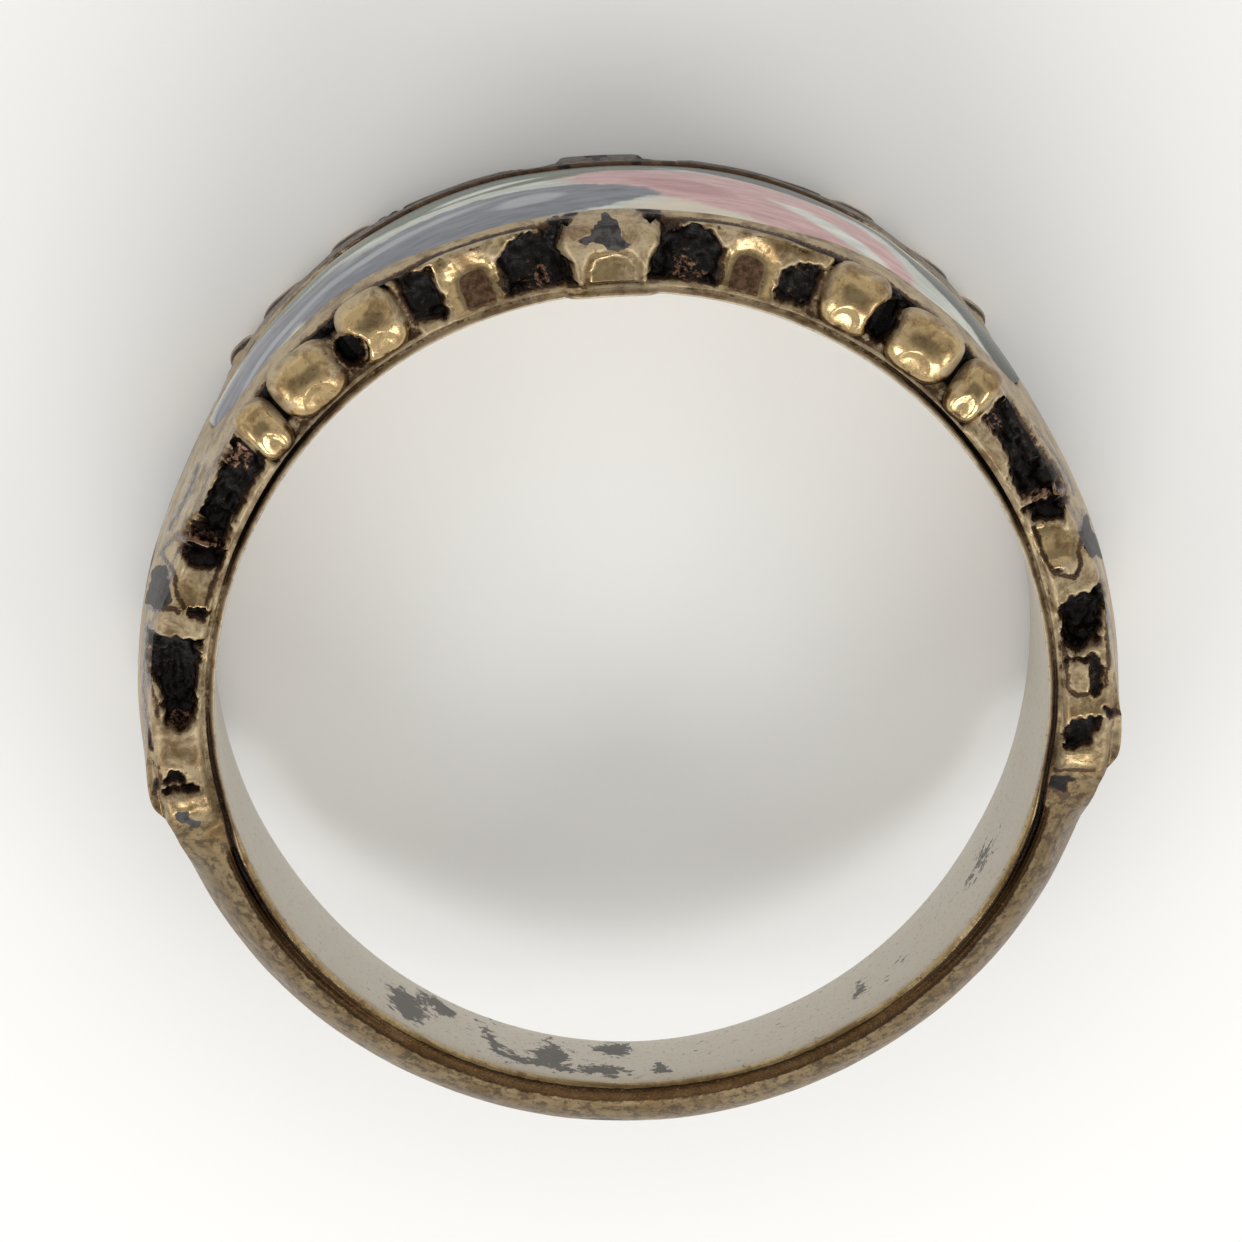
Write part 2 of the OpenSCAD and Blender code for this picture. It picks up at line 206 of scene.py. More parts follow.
FORMS = (
    Form(Side.BOTH, ((-6.0, 10.66), (3.2, 10.62), (4.7, 10.44), (5.9, 10.2), (6.0, 9.98), (5.4, 9.76),
         (5.1, 9.6), (4.9, 9.1), (-6.0, 9.05)), (0.4, 0.4), 0.24, 0.0),
    Form(Side.RIGHT, ((-3.4, 8.9), (-3.3, 9.46), (-2.2, 9.74), (0.2, 9.84), (2.4, 9.76), (3.6, 9.5),
         (3.8, 8.9)), (0.17, 0.17), 0.26, 0.0),
    Form(Side.BOTH, ((4.8, 9.1), (5.1, 9.6), (6.2, 9.88), (6.3, 10.18), (5.1, 10.44), (3.6, 10.64),
         (3.2, 10.8), (6.2, 10.68), (9.5, 10.48), (12.4, 10.22), (14.3, 9.92), (14.1, 9.1)),
         (-0.55, -0.38), 0.14, 1.0, 0.1),
    Form(Side.BOTH, ((13.9, 8.8), (14.0, 9.7), (14.4, 9.95), (15.4, 10.12), (17.2, 10.2), (19.2, 10.14),
         (20.4, 9.95), (20.9, 9.65), (21.0, 8.8)), (-0.14, -0.14), 0.44, 0.0, 0.01, 0.0, 1.0),
    Form(Side.BOTH, ((13.3, 9.16), (13.3, 9.7), (14.1, 9.9), (14.5, 9.5), (14.3, 9.16)), (-0.16, -0.16),
         0.1, 0.8, 0.04),
    Form(Side.LEFT, ((21.9, 9.24), (21.9, 9.9), (22.2, 10.28), (24.0, 10.42), (26.0, 10.42), (26.8, 10.0),
         (27.0, 9.3)), (-0.42, -0.36), 0.16, 1.0, 0.1),
    Form(Side.RIGHT, ((21.8, 9.2), (21.7, 9.8), (23.4, 10.08), (26.4, 10.16), (27.0, 9.8), (27.4, 9.2)),
         (-0.4, -0.36), 0.16, 0.85, 0.1, 0.3),
    Form(Side.BOTH, ((26.2, 9.0), (26.2, 10.1), (27.5, 10.42), (34.5, 10.42), (36.2, 10.36),
         (38.0, 10.36), (44.5, 10.32), (46.6, 10.38), (50.0, 10.34), (52.0, 9.8), (53.0, 9.0)),
         (-0.14, -0.14), 0.12, 0.34, 0.04),
    Form(Side.BOTH, ((27.0, 10.32), (34.5, 10.28), (36.2, 10.1), (38.0, 10.2), (44.5, 10.16),
         (46.6, 10.05), (50.0, 10.2), (50.2, 10.4), (46.6, 10.46), (36.2, 10.52), (27.0, 10.5)),
         (-0.3, -0.3), 0.1, 1.0, 0.05),
    Form(Side.LEFT, ((34.0, 9.46), (33.9, 9.7), (34.7, 9.92), (35.9, 9.96), (36.8, 9.78), (36.9, 9.5),
         (36.2, 9.32), (34.9, 9.3)), (-0.75, -0.75), 0.1, 1.0),
    Form(Side.RIGHT, ((34.2, 9.44), (33.7, 9.76), (34.5, 10.1), (36.1, 10.22), (37.6, 9.83), (37.5, 9.45),
         (36.0, 9.28)), (-0.7, -0.7), 0.12, 1.0),
    Form(Side.BOTH, ((46.0, 9.5), (44.9, 10.2), (45.4, 10.4), (46.6, 10.36), (47.4, 9.9), (48.4, 9.5)),
         (-0.42, -0.42), 0.1, 1.0, 0.04),
    Form(Side.LEFT, ((53.3, 9.32), (52.6, 9.7), (52.8, 10.2), (54.6, 10.3), (57.2, 10.14), (58.4, 10.0),
         (61.0, 10.08), (63.9, 10.12), (65.8, 10.16), (65.8, 9.9), (65.4, 9.28), (61.0, 9.36)),
         (-0.4, -0.52), 0.1, 1.0, 0.12),
    Form(Side.RIGHT, ((53.6, 9.55), (52.8, 10.1), (53.8, 10.38), (57.5, 10.3), (62.0, 10.38),
         (66.2, 10.4), (66.2, 10.2), (65.9, 9.84), (65.4, 9.28), (61.5, 9.33), (59.0, 9.5), (56.5, 9.55)),
         (-0.4, -0.52), 0.1, 1.0, 0.1),
    Form(Side.LEFT, ((66.2, 9.26), (66.4, 9.72), (66.6, 10.1), (67.3, 10.26), (68.9, 10.0), (70.3, 9.78),
         (71.2, 9.6), (71.0, 9.42), (69.0, 9.26)), (-0.46, -0.1), 0.14, 0.95, 0.08),
    Form(Side.RIGHT, ((66.0, 9.26), (66.2, 9.7), (67.3, 10.28), (68.7, 10.02), (70.1, 9.84), (69.5, 9.6),
         (68.0, 9.34)), (-0.46, -0.22), 0.14, 1.0, 0.08),
    Form(Side.BOTH, ((69.0, 9.24), (70.0, 9.9), (72.0, 9.92), (74.3, 9.78), (74.0, 9.2)), (-0.02, 0.24),
         0.16, 0.0),
    Form(Side.LEFT, ((74.6, 9.7), (74.5, 9.45), (74.3, 9.14), (75.0, 9.14), (76.1, 9.28), (75.8, 9.5),
         (75.4, 9.68)), (0.02, 0.2), 0.07, 0.75),
    Form(Side.RIGHT, ((75.0, 9.34), (75.4, 9.62), (75.9, 9.6), (75.6, 9.34)), (0.2, 0.22), 0.07, 0.6),
    Form(Side.BOTH, ((69.6, 10.5), (69.9, 10.3), (72.7, 10.08), (74.6, 10.05), (75.6, 10.22),
         (75.0, 10.5)), (0.04, 0.12), 0.12, 0.1),
    Form(Side.LEFT, ((77.3, 10.5), (78.9, 10.14), (78.7, 9.64), (78.6, 9.24), (82.5, 9.22), (86.0, 9.24),
         (89.6, 9.28), (90.5, 9.56), (90.0, 9.9), (86.7, 9.96), (84.9, 10.1), (82.1, 10.28),
         (79.3, 10.44)), (-0.3, -0.42), 0.12, 1.0, 0.12),
    Form(Side.RIGHT, ((79.8, 9.28), (79.3, 9.62), (79.2, 10.02), (78.4, 10.44), (80.3, 10.26),
         (82.5, 10.13), (85.4, 9.96), (86.1, 9.72), (86.6, 9.36), (85.3, 9.26), (82.2, 9.24)),
         (-0.34, -0.4), 0.12, 1.0, 0.12),
    Form(Side.RIGHT, ((86.8, 9.26), (87.2, 9.86), (89.0, 10.02), (91.4, 9.98), (92.6, 9.82), (91.8, 9.72),
         (88.2, 9.74), (87.8, 9.26)), (0.1, 0.16), 0.07, 0.85),
    Form(Side.LEFT, ((96.4, 10.08), (95.9, 9.85), (96.3, 9.64), (96.9, 9.62), (97.2, 9.88),
         (97.0, 10.06)), (0.12, 0.12), 0.07, 0.8),
    Form(Side.LEFT, ((98.2, 10.26), (97.5, 10.06), (97.6, 9.7), (98.1, 9.3), (98.8, 9.43), (98.5, 9.92)),
         (0.08, 0.08), 0.07, 0.8),
    Form(Side.RIGHT, ((96.8, 9.2), (95.7, 9.34), (95.1, 9.71), (95.0, 10.1), (96.4, 9.95), (97.5, 9.78),
         (98.5, 9.8), (99.6, 9.45), (99.4, 9.24), (98.2, 9.26), (97.8, 9.4), (97.3, 9.24)), (0.04, 0.0),
         0.08, 1.0, 0.05),
    Form(Side.RIGHT, ((93.9, 10.02), (94.2, 10.4), (95.0, 10.4), (95.6, 10.1)), (0.12, 0.16), 0.08, 0.8),
)

SEAMS = (
    Seam(Side.LEFT, ((68.7, 10.53), (70.6, 10.13), (72.9, 9.97), (74.5, 9.73))),
    Seam(Side.LEFT, ((68.8, 10.55), (66.3, 10.38), (65.5, 10.24))),
    Seam(Side.LEFT, ((77.1, 10.42), (81.1, 10.41), (84.6, 10.4), (87.4, 10.34), (91.0, 10.31),
         (92.8, 10.26))),
    Seam(Side.LEFT, ((94.9, 10.16), (96.4, 10.14), (98.3, 10.35))),
    Seam(Side.LEFT, ((57.5, 10.59), (61.5, 10.49), (65.8, 10.55))),
    Seam(Side.LEFT, ((75.4, 10.49), (75.5, 10.23), (74.8, 9.94), (75.2, 9.83))),
    Seam(Side.LEFT, ((83.8, 10.3), (86.7, 10.1), (88.5, 10.07))),
    Seam(Side.LEFT, ((66.6, 9.22), (70.2, 9.24), (73.4, 9.3))),
    Seam(Side.RIGHT, ((68.9, 9.28), (72.8, 9.24), (75.7, 9.37), (76.8, 9.72), (75.5, 9.95), (74.0, 9.97),
         (69.4, 10.48))),
    Seam(Side.RIGHT, ((85.2, 9.21), (88.2, 9.24), (91.4, 9.25), (92.2, 9.45), (92.0, 9.8),
         (90.9, 10.06))),
    Seam(Side.RIGHT, ((79.0, 10.23), (81.1, 10.28), (84.8, 10.17), (88.4, 10.14), (90.6, 10.04))),
    Seam(Side.RIGHT, ((103.5, 9.05), (102.6, 9.46), (102.1, 9.97))),
    Seam(Side.RIGHT, ((58.1, 10.46), (65.1, 10.53), (67.3, 10.44))),
)

MARKS = (
    Mark(Stain.GOLD, Side.RIGHT, ((-3.4, 8.9), (-3.2, 9.46), (-2.0, 9.72), (0.2, 9.8), (2.4, 9.72),
         (3.6, 8.9)), 0.7, 0.35),
    Mark(Stain.GOLD, Side.BOTH, ((13.6, 9.0), (13.8, 9.8), (15.0, 10.18), (17.2, 10.28), (19.6, 10.2),
         (21.0, 9.9), (21.2, 9.0))),
    Mark(Stain.GOLD, Side.BOTH, ((8.0, 10.5), (14.0, 10.36), (24.0, 10.36), (24.0, 10.22), (14.0, 10.2),
         (9.0, 10.42)), 0.7, 0.14),
    Mark(Stain.PATINA, Side.BOTH, ((7.5, 10.49), (14.0, 10.42), (24.0, 10.42), (24.0, 10.37),
         (14.0, 10.37), (7.5, 10.44)), 0.42, 0.08),
    Mark(Stain.GOLD, Side.LEFT, ((54.5, 10.6), (54.5, 10.34), (58.0, 10.18), (61.0, 10.14), (66.0, 10.22),
         (67.0, 10.6)), 0.8, 0.35),
    Mark(Stain.GOLD, Side.BOTH, ((70.4, 9.2), (71.0, 9.8), (72.6, 9.96), (74.9, 9.8), (75.0, 9.2)), 0.45,
         0.3),
    Mark(Stain.GOLD, Side.RIGHT, ((69.6, 9.2), (70.4, 9.8), (72.6, 10.0), (74.9, 9.8), (75.2, 9.2)), 0.9,
         0.3),
    Mark(Stain.COPPER, Side.BOTH, ((7.9, 8.95), (8.2, 9.5), (9.4, 9.95), (10.8, 9.75), (12.8, 9.4),
         (13.8, 8.95)), 0.46, 0.4),
    Mark(Stain.GOLD, Side.BOTH, ((90.5, 9.2), (91.0, 9.9), (94.0, 10.1), (95.6, 9.9), (95.6, 9.2)), 0.6,
         0.45),
    Mark(Stain.GOLD, Side.BOTH, ((99.5, 9.2), (99.5, 10.1), (101.5, 10.3), (103.0, 9.6), (103.0, 9.2)),
         0.6, 0.45),
    Mark(Stain.BROWN, Side.BOTH, ((65.3, 9.2), (65.4, 10.4), (66.9, 10.4), (66.6, 9.2)), 0.75, 0.2),
    Mark(Stain.WORN, Side.LEFT, ((3.6, 10.16), (2.3, 10.22), (1.7, 10.4), (0.7, 10.6), (-0.1, 10.62),
         (-1.2, 10.48), (-1.3, 10.15), (-2.5, 9.98), (-1.1, 9.86), (-0.2, 9.84), (0.7, 9.93),
         (2.4, 10.08))),
    Mark(Stain.WORN, Side.LEFT, ((72.6, 10.6), (70.4, 10.6), (70.3, 10.36), (72.7, 10.09), (74.2, 10.03),
         (75.5, 10.2), (75.0, 10.6))),
    Mark(Stain.WORN, Side.RIGHT, ((69.6, 10.6), (70.6, 10.29), (73.0, 10.1), (75.2, 10.14),
         (75.8, 10.6))),
    Mark(Stain.WORN, Side.LEFT, ((101.0, 10.03), (101.5, 9.79), (102.4, 9.74), (103.2, 9.52),
         (104.2, 9.6), (104.1, 9.76), (102.8, 9.85), (101.9, 10.04))),
    Mark(Stain.PATINA, Side.RIGHT, ((104.8, 9.02), (104.0, 9.17), (103.7, 9.56), (103.8, 9.69),
         (105.2, 9.54), (106.6, 9.57), (106.5, 9.36), (106.0, 9.14))),
    Mark(Stain.COPPER, Side.LEFT, ((53.5, 9.6), (53.2, 9.95), (54.6, 10.15), (56.2, 10.05), (56.6, 9.7),
         (55.0, 9.5))),
    Mark(Stain.COPPER, Side.RIGHT, ((53.2, 9.5), (53.0, 9.9), (54.6, 9.95), (56.0, 9.7), (55.0, 9.45))),
    Mark(Stain.COPPER, Side.LEFT, ((88.8, 9.3), (89.0, 9.8), (90.3, 9.9), (90.6, 9.4))),
    Mark(Stain.COPPER, Side.BOTH, ((65.2, 9.3), (65.4, 9.8), (66.3, 10.3), (67.0, 10.1), (66.3, 9.3))),
    Mark(Stain.COPPER, Side.BOTH, ((8.2, 9.16), (8.4, 9.55), (9.4, 9.6), (9.8, 9.16))),
)

# Angle, then the columns of Column: half width, wall, the groove by the rim and its patina
BAND_RUN = (
    (0, 3.25, 1.62, 0.00, 0.08),
    (6, 3.25, 1.62, 0.03, 0.08),
    (12, 3.25, 1.65, 0.08, 0.12),
    (20, 3.25, 1.67, 0.09, 0.12),
    (27, 3.25, 1.70, 0.10, 0.16),
    (33, 3.25, 1.70, 0.11, 0.20),
    (38, 3.25, 1.64, 0.13, 0.30),
    (45, 3.25, 1.59, 0.20, 0.55),
    (50, 3.25, 1.53, 0.27, 0.80),
    (62, 3.25, 1.44, 0.28, 0.80),
    (72, 3.22, 1.49, 0.12, 0.18),
    (82, 3.18, 1.56, 0.10, 0.14),
    (94, 3.12, 1.60, 0.16, 0.45),
    (104, 2.98, 1.46, 0.18, 0.55),
    (113, 2.84, 1.41, 0.16, 0.45),
    (122, 2.75, 1.37, 0.10, 0.20),
    (134, 2.38, 1.32, 0.04, 0.10),
    (148, 2.02, 1.27, 0.00, 0.0),
    (164, 1.77, 1.25, 0.00, 0.0),
    (180, 1.65, 1.25, 0.00, 0.0),
)

# Half width of the enamel against the angle, before its ends are rounded
PANEL_RUN = ((0, 2.30), (5, 2.34), (12, 2.42), (20, 2.38), (28, 2.02), (34, 1.90), (46, 1.82), (57, 1.75))

# Grey worn places on the metal's outside, and tarnish inside the finger hole
WORN_SPOTS = (Spot(-186.0, 0.60, 3.5, 0.50),)
TARNISH_SPOTS = (
    Spot(145.0, -0.10, 3.4, 0.80),
    Spot(144.0, 1.05, 3.2, 0.30),
    Spot(150.0, -1.10, 3.0, 0.30),
    Spot(158.0, -1.30, 3.4, 0.25),
    Spot(160.5, 0.80, 3.2, 0.40),
    Spot(167.0, 0.10, 2.6, 1.20),
    Spot(167.0, 1.10, 5.0, 0.22),
    Spot(173.5, 0.90, 3.6, 0.35),
    Spot(176.0, -0.90, 3.0, 0.25),
    Spot(130.5, 0.60, 1.6, 0.25, 0.8),
    Spot(136.0, 0.90, 1.4, 0.25, 0.8),
    Spot(124.0, 0.30, 2.0, 0.20, 0.7),
    Spot(158.0, 0.00, 1.4, 0.25, 0.8),
    Spot(-178.0, 0.90, 2.0, 0.20, 0.8),
    Spot(-172.0, -1.20, 3.0, 0.20, 0.8),
    Spot(-160.0, -1.30, 3.6, 0.20, 0.8),
    Spot(-148.0, 0.15, 1.6, 0.25, 0.9),
    Spot(-141.0, 0.15, 1.0, 0.20, 0.9),
    Spot(-123.0, 0.25, 7.0, 0.28),
)


def smooth_run(rows: Sequence[Sequence[float]], column: int, angles: Array) -> Array:
    """Follows one column of a table of angles on a smooth run through its points.

    Args:
        rows: The table; column 0 is the angle.
        column: The column to follow.
        angles: Angles to read it at.

    Returns:
        The column's value at each angle.
    """
    table = np.asarray(rows, float)
    x, y = table[:, 0], table[:, column]
    slopes = np.zeros(len(x))
    slopes[1:-1] = (y[2:] - y[:-2]) / (x[2:] - x[:-2])
    i = np.clip(np.searchsorted(x, angles, side="right") - 1, 0, len(x) - 2)
    span = x[i + 1] - x[i]
    t = np.clip((angles - x[i]) / span, 0.0, 1.0)
    t2, t3 = t * t, t * t * t
    start = (2 * t3 - 3 * t2 + 1) * y[i] + (t3 - 2 * t2 + t) * span * slopes[i]
    end = (3 * t2 - 2 * t3) * y[i + 1] + (t3 - t2) * span * slopes[i + 1]
    return start + end


def pillow(x: Array, power: float) -> Array:
    """Gives 1 at 0 and 0 from -1 and 1 outwards, the steeper there the larger the power."""
    return np.sqrt(1.0 - np.minimum(np.abs(x), 1.0) ** power)


def ramp(x: Array, start: float | Array, end: float | Array) -> Array:
    """Eases from 0 at the start to 1 at the end, which may be the smaller of the two."""
    t = np.clip((x - start) / (end - start), 0.0, 1.0)
    return t * t * (3 - 2 * t)


def hill(x: Array, middle: float = 0.0, half: float = 1.0) -> Array:
    """Gives a bell that is 1 at its middle and nearly 0 at twice its half width from there."""
    away = (x - middle) / half
    return np.exp(-(away * away))


def ripples(x: Array, y: Array, layers: Sequence[Ripple]) -> Array:
    """Adds up layers of soft noise round 0.

    Args:
        x: Places, in millimetres.
        y: The same places' other coordinate.
        layers: The layers.

    Returns:
        The noise at each place.
    """
    x, y = np.broadcast_arrays(x, y)
    total = np.zeros(x.shape)
    for layer in layers:
        pairs = zip((x * layer.per_mm).ravel().tolist(), (y * layer.per_mm).ravel().tolist())
        values = [noise.noise(Vector((a, b, layer.seed))) for a, b in pairs]
        total = total + layer.height * np.array(values).reshape(x.shape)
    return total


def beside_run(x: Array, y: Array, points: Sequence[tuple[float, float]]) -> Array:
    """Measures how far places are from a line through some points.

    Args:
        x: Places along.
        y: Places across.
        points: The line's points, in order.

    Returns:
        The distance to the line.
    """
    near = np.full(np.broadcast(x, y).shape, np.inf)
    for (ax, ay), (bx, by) in zip(points, points[1:]):
        share = ((x - ax) * (bx - ax) + (y - ay) * (by - ay)) / ((bx - ax) ** 2 + (by - ay) ** 2)
        share = np.clip(share, 0, 1)
        near = np.minimum(near, np.hypot(x - ax - share * (bx - ax), y - ay - share * (by - ay)))
    return near


def depth_inside(x: Array, y: Array, corners: Sequence[tuple[float, float]]) -> Array:
    """Measures how far inside a closed outline each place lies.

    Args:
        x: Places, in millimetres.
        y: The same places' other coordinate.
        corners: The outline's corners in order.

    Returns:
        The distance to the outline, negative outside it.
    """
    inside = np.zeros(x.shape, bool)
    closed = [*corners, corners[0]]
    for (x0, y0), (x1, y1) in zip(closed, closed[1:]):
        if y0 != y1:
            inside ^= ((y0 > y) != (y1 > y)) & (x < (x1 - x0) * (y - y0) / (y1 - y0) + x0)
    return beside_run(x, y, closed) * np.where(inside, 1.0, -1.0)


@dataclass(frozen=True)
class RingGauge:
    """The ring's main sizes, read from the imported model, in millimetres."""

    bore_r: float
    axis_y: float
    mid_z: float
    half_width: float

    @classmethod
    def from_frame(cls) -> "RingGauge":
        """Reads the finger hole's mount and the band's box.

        Returns:
            The gauge.
        """
        mount = next(m for m in frame["record"]["mounts"] if m["name"] == "finger_bore")
        low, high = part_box("band")
        return cls(
            bore_r=mount["dims"]["r_mm"],
            axis_y=mount["pos_m"][1] / MM,
            mid_z=(low.z + high.z) / 2 / MM,
            half_width=(high.z - low.z) / 2 / MM,
        )

    def place(self, angle: Array, radius: Array, height: Array) -> Array:
        """Turns ring coordinates into points of the frame.

        Args:
            angle: Degrees from the crown's middle, positive towards +X.
            radius: Millimetres from the finger axis.
            height: Millimetres over the ring's middle.

        Returns:
            Points in metres, with one more axis than the arguments.
        """
        a = np.radians(angle)
        x = radius * np.sin(a)
        y = self.axis_y - radius * np.cos(a)
        z = self.mid_z + height + 0 * a
        return np.stack(np.broadcast_arrays(x, y, z), axis=-1) * MM


class Value:
    """A number or vector that a node tree works out, written with plain arithmetic."""

    def __init__(self, sheet: "NodeSheet", socket: bpy.types.NodeSocket) -> None:
        """Wraps an output of one of the sheet's nodes."""
        self.sheet, self.socket = sheet, socket

    def __add__(self, other: object) -> "Value":
        """Adds another value or a number."""
        return self.sheet.math("ADD", self, other)

    def __sub__(self, other: object) -> "Value":
        """Takes another value or a number away."""
        return self.sheet.math("SUBTRACT", self, other)

    def __rsub__(self, other: object) -> "Value":
        """Takes this value away from a number."""
        return self.sheet.math("SUBTRACT", other, self)

    def __mul__(self, other: object) -> "Value":
        """Multiplies by another value or a number."""
        return self.sheet.math("MULTIPLY", self, other)

    def __truediv__(self, other: object) -> "Value":
        """Divides by another value or a number."""
        return self.sheet.math("DIVIDE", self, other)

    def __rtruediv__(self, other: object) -> "Value":
        """Divides a number by this value."""
        return self.sheet.math("DIVIDE", other, self)

    def __pow__(self, other: object) -> "Value":
        """Raises to a power."""
        return self.sheet.math("POWER", self, other)

    def __abs__(self) -> "Value":
        """Leaves the sign out."""
        return self.sheet.math("ABSOLUTE", self)

    def larger(self, other: object) -> "Value":
        """Gives the larger of this and another value."""
        return self.sheet.math("MAXIMUM", self, other)

    def clamped(self) -> "Value":
        """Keeps the value between 0 and 1."""
        return self.sheet.math("ADD", self, 0.0, clamp=True)

    def step(self, low: float, high: float) -> "Value":
        """Eases from 0 where the value is low to 1 where it is high."""
        feeds = {"Value": self, "From Min": low, "From Max": high}
        return self.sheet.value("ShaderNodeMapRange", feeds, interpolation_type="SMOOTHSTEP")


class NodeSheet:
    """Lays out the nodes of one shader or geometry tree."""

    def __init__(self, tree: bpy.types.NodeTree) -> None:
        """Starts on an empty tree.

        Args:
            tree: The tree, whose nodes are cleared.
        """
        self.tree = tree
        tree.nodes.clear()

    def feed(self, target: bpy.types.Node, feeds: Feeds) -> None:
        """Links or sets inputs of a node.

        Args:
            target: The node.
            feeds: What goes into each input: a value of this sheet, or a constant.
        """
        for key, given in feeds.items():
            socket = target.inputs[key]
            if isinstance(given, Value):
                self.tree.links.new(given.socket, socket)
            elif isinstance(given, tuple) and socket.type == "RGBA":
                socket.default_value = (*given, 1.0)
            else:
                socket.default_value = given

    def node(self, kind: str, feeds: Feeds | None = None, **settings: object) -> bpy.types.Node:
        """Adds a node.

        Args:
            kind: The node's type name.
            feeds: What goes into its inputs.
            settings: Its properties.

        Returns:
            The node.
        """
        made = self.tree.nodes.new(kind)
        for name, setting in settings.items():
            setattr(made, name, setting)
        self.feed(made, feeds or {})
        return made

    def value(self, kind: str, feeds: Feeds | None = None, output: int | str = 0,
              **settings: object) -> Value:
        """Adds a node and returns one of its outputs, the first one unless it is named."""
        return Value(self, self.node(kind, feeds, **settings).outputs[output])

    def math(self, operation: str, *values: object, clamp: bool = False) -> Value:
        """Works out a sum of one or two values."""
        return self.value("ShaderNodeMath", dict(enumerate(values)), operation=operation, use_clamp=clamp)

    def vector_math(self, operation: str, *values: object) -> Value:
        """Works out a sum of one or two vectors."""
        return self.value("ShaderNodeVectorMath", dict(enumerate(values)), operation=operation)

    def scaled(self, vector: object, factor: object) -> Value:
        """Multiplies a vector by a number."""
        return self.value("ShaderNodeVectorMath", {0: vector, "Scale": factor}, operation="SCALE")

    def split(self, vector: Value) -> tuple[Value, Value, Value]:
        """Takes a vector apart.

        Args:
            vector: The vector.

        Returns:
            Its three parts.
        """
        apart = self.node("ShaderNodeSeparateXYZ", {0: vector})
        x, y, z = (Value(self, output) for output in apart.outputs)
        return x, y, z

    def joined(self, *parts: Value) -> Value:
        """Puts a vector together; parts that aren't given are 0."""
        return self.value("ShaderNodeCombineXYZ", dict(enumerate(parts)))

    def blend(self, factor: object, first: object, second: object) -> Value:
        """Mixes two colours, from the first at 0 to the second at 1."""
        return self.value("ShaderNodeMix", {0: factor, 6: first, 7: second}, 2, data_type="RGBA")

    def between(self, factor: object, first: object, second: object) -> Value:
        """Mixes two numbers, from the first at 0 to the second at 1."""
        return self.value("ShaderNodeMix", {0: factor, 2: first, 3: second}, data_type="FLOAT")

    def cloud(self, vector: Value, scale: float, detail: float = 3.0, rough: float = 0.55,
              distortion: float = 0.0) -> Value:
        """Adds a noise texture.

        Args:
            vector: Where the noise is read.
            scale: How many details it has in a unit of the vector.
            detail: How many finer layers it has.
            rough: How strong each finer layer is against the one before.
            distortion: How far it is warped.

        Returns:
            Its grey value, from 0 to 1.
        """
        return self.value("ShaderNodeTexNoise", {
            "Vector": vector, "Scale": scale, "Detail": detail, "Roughness": rough,
            "Distortion": distortion}, "Fac")

    def attribute(self, name: str, output: str = "Fac") -> Value:
        """Reads an attribute of the piece's own mesh."""
        return self.value("ShaderNodeAttribute", output=output, attribute_name=name)

    def object_mm(self) -> Value:
        """Gives Object coordinates in millimetres."""
        return self.scaled(self.value("ShaderNodeTexCoord", output="Object"), 1 / MM)

    def bumps(self, height: Value, strength: float, depth: float) -> Value:
        """Turns a height of 0 to 1 into the surface's small bumps, as deep as given in millimetres."""
        return self.value("ShaderNodeBump", {"Strength": strength, "Distance": depth * MM, "Height": height})


def new_material(name: str) -> tuple[bpy.types.Material, NodeSheet, bpy.types.Node]:
    """Makes an empty material.

    Args:
        name: The material's name.

    Returns:
        The material, the sheet of its nodes and its Principled shader, which is already linked.
    """
    material = bpy.data.materials.new(name)
    material.use_nodes = True
    sheet = NodeSheet(material.node_tree)
    shader = sheet.node("ShaderNodeBsdfPrincipled")
    sheet.node("ShaderNodeOutputMaterial", {"Surface": Value(sheet, shader.outputs[0])})
    return material, sheet, shader


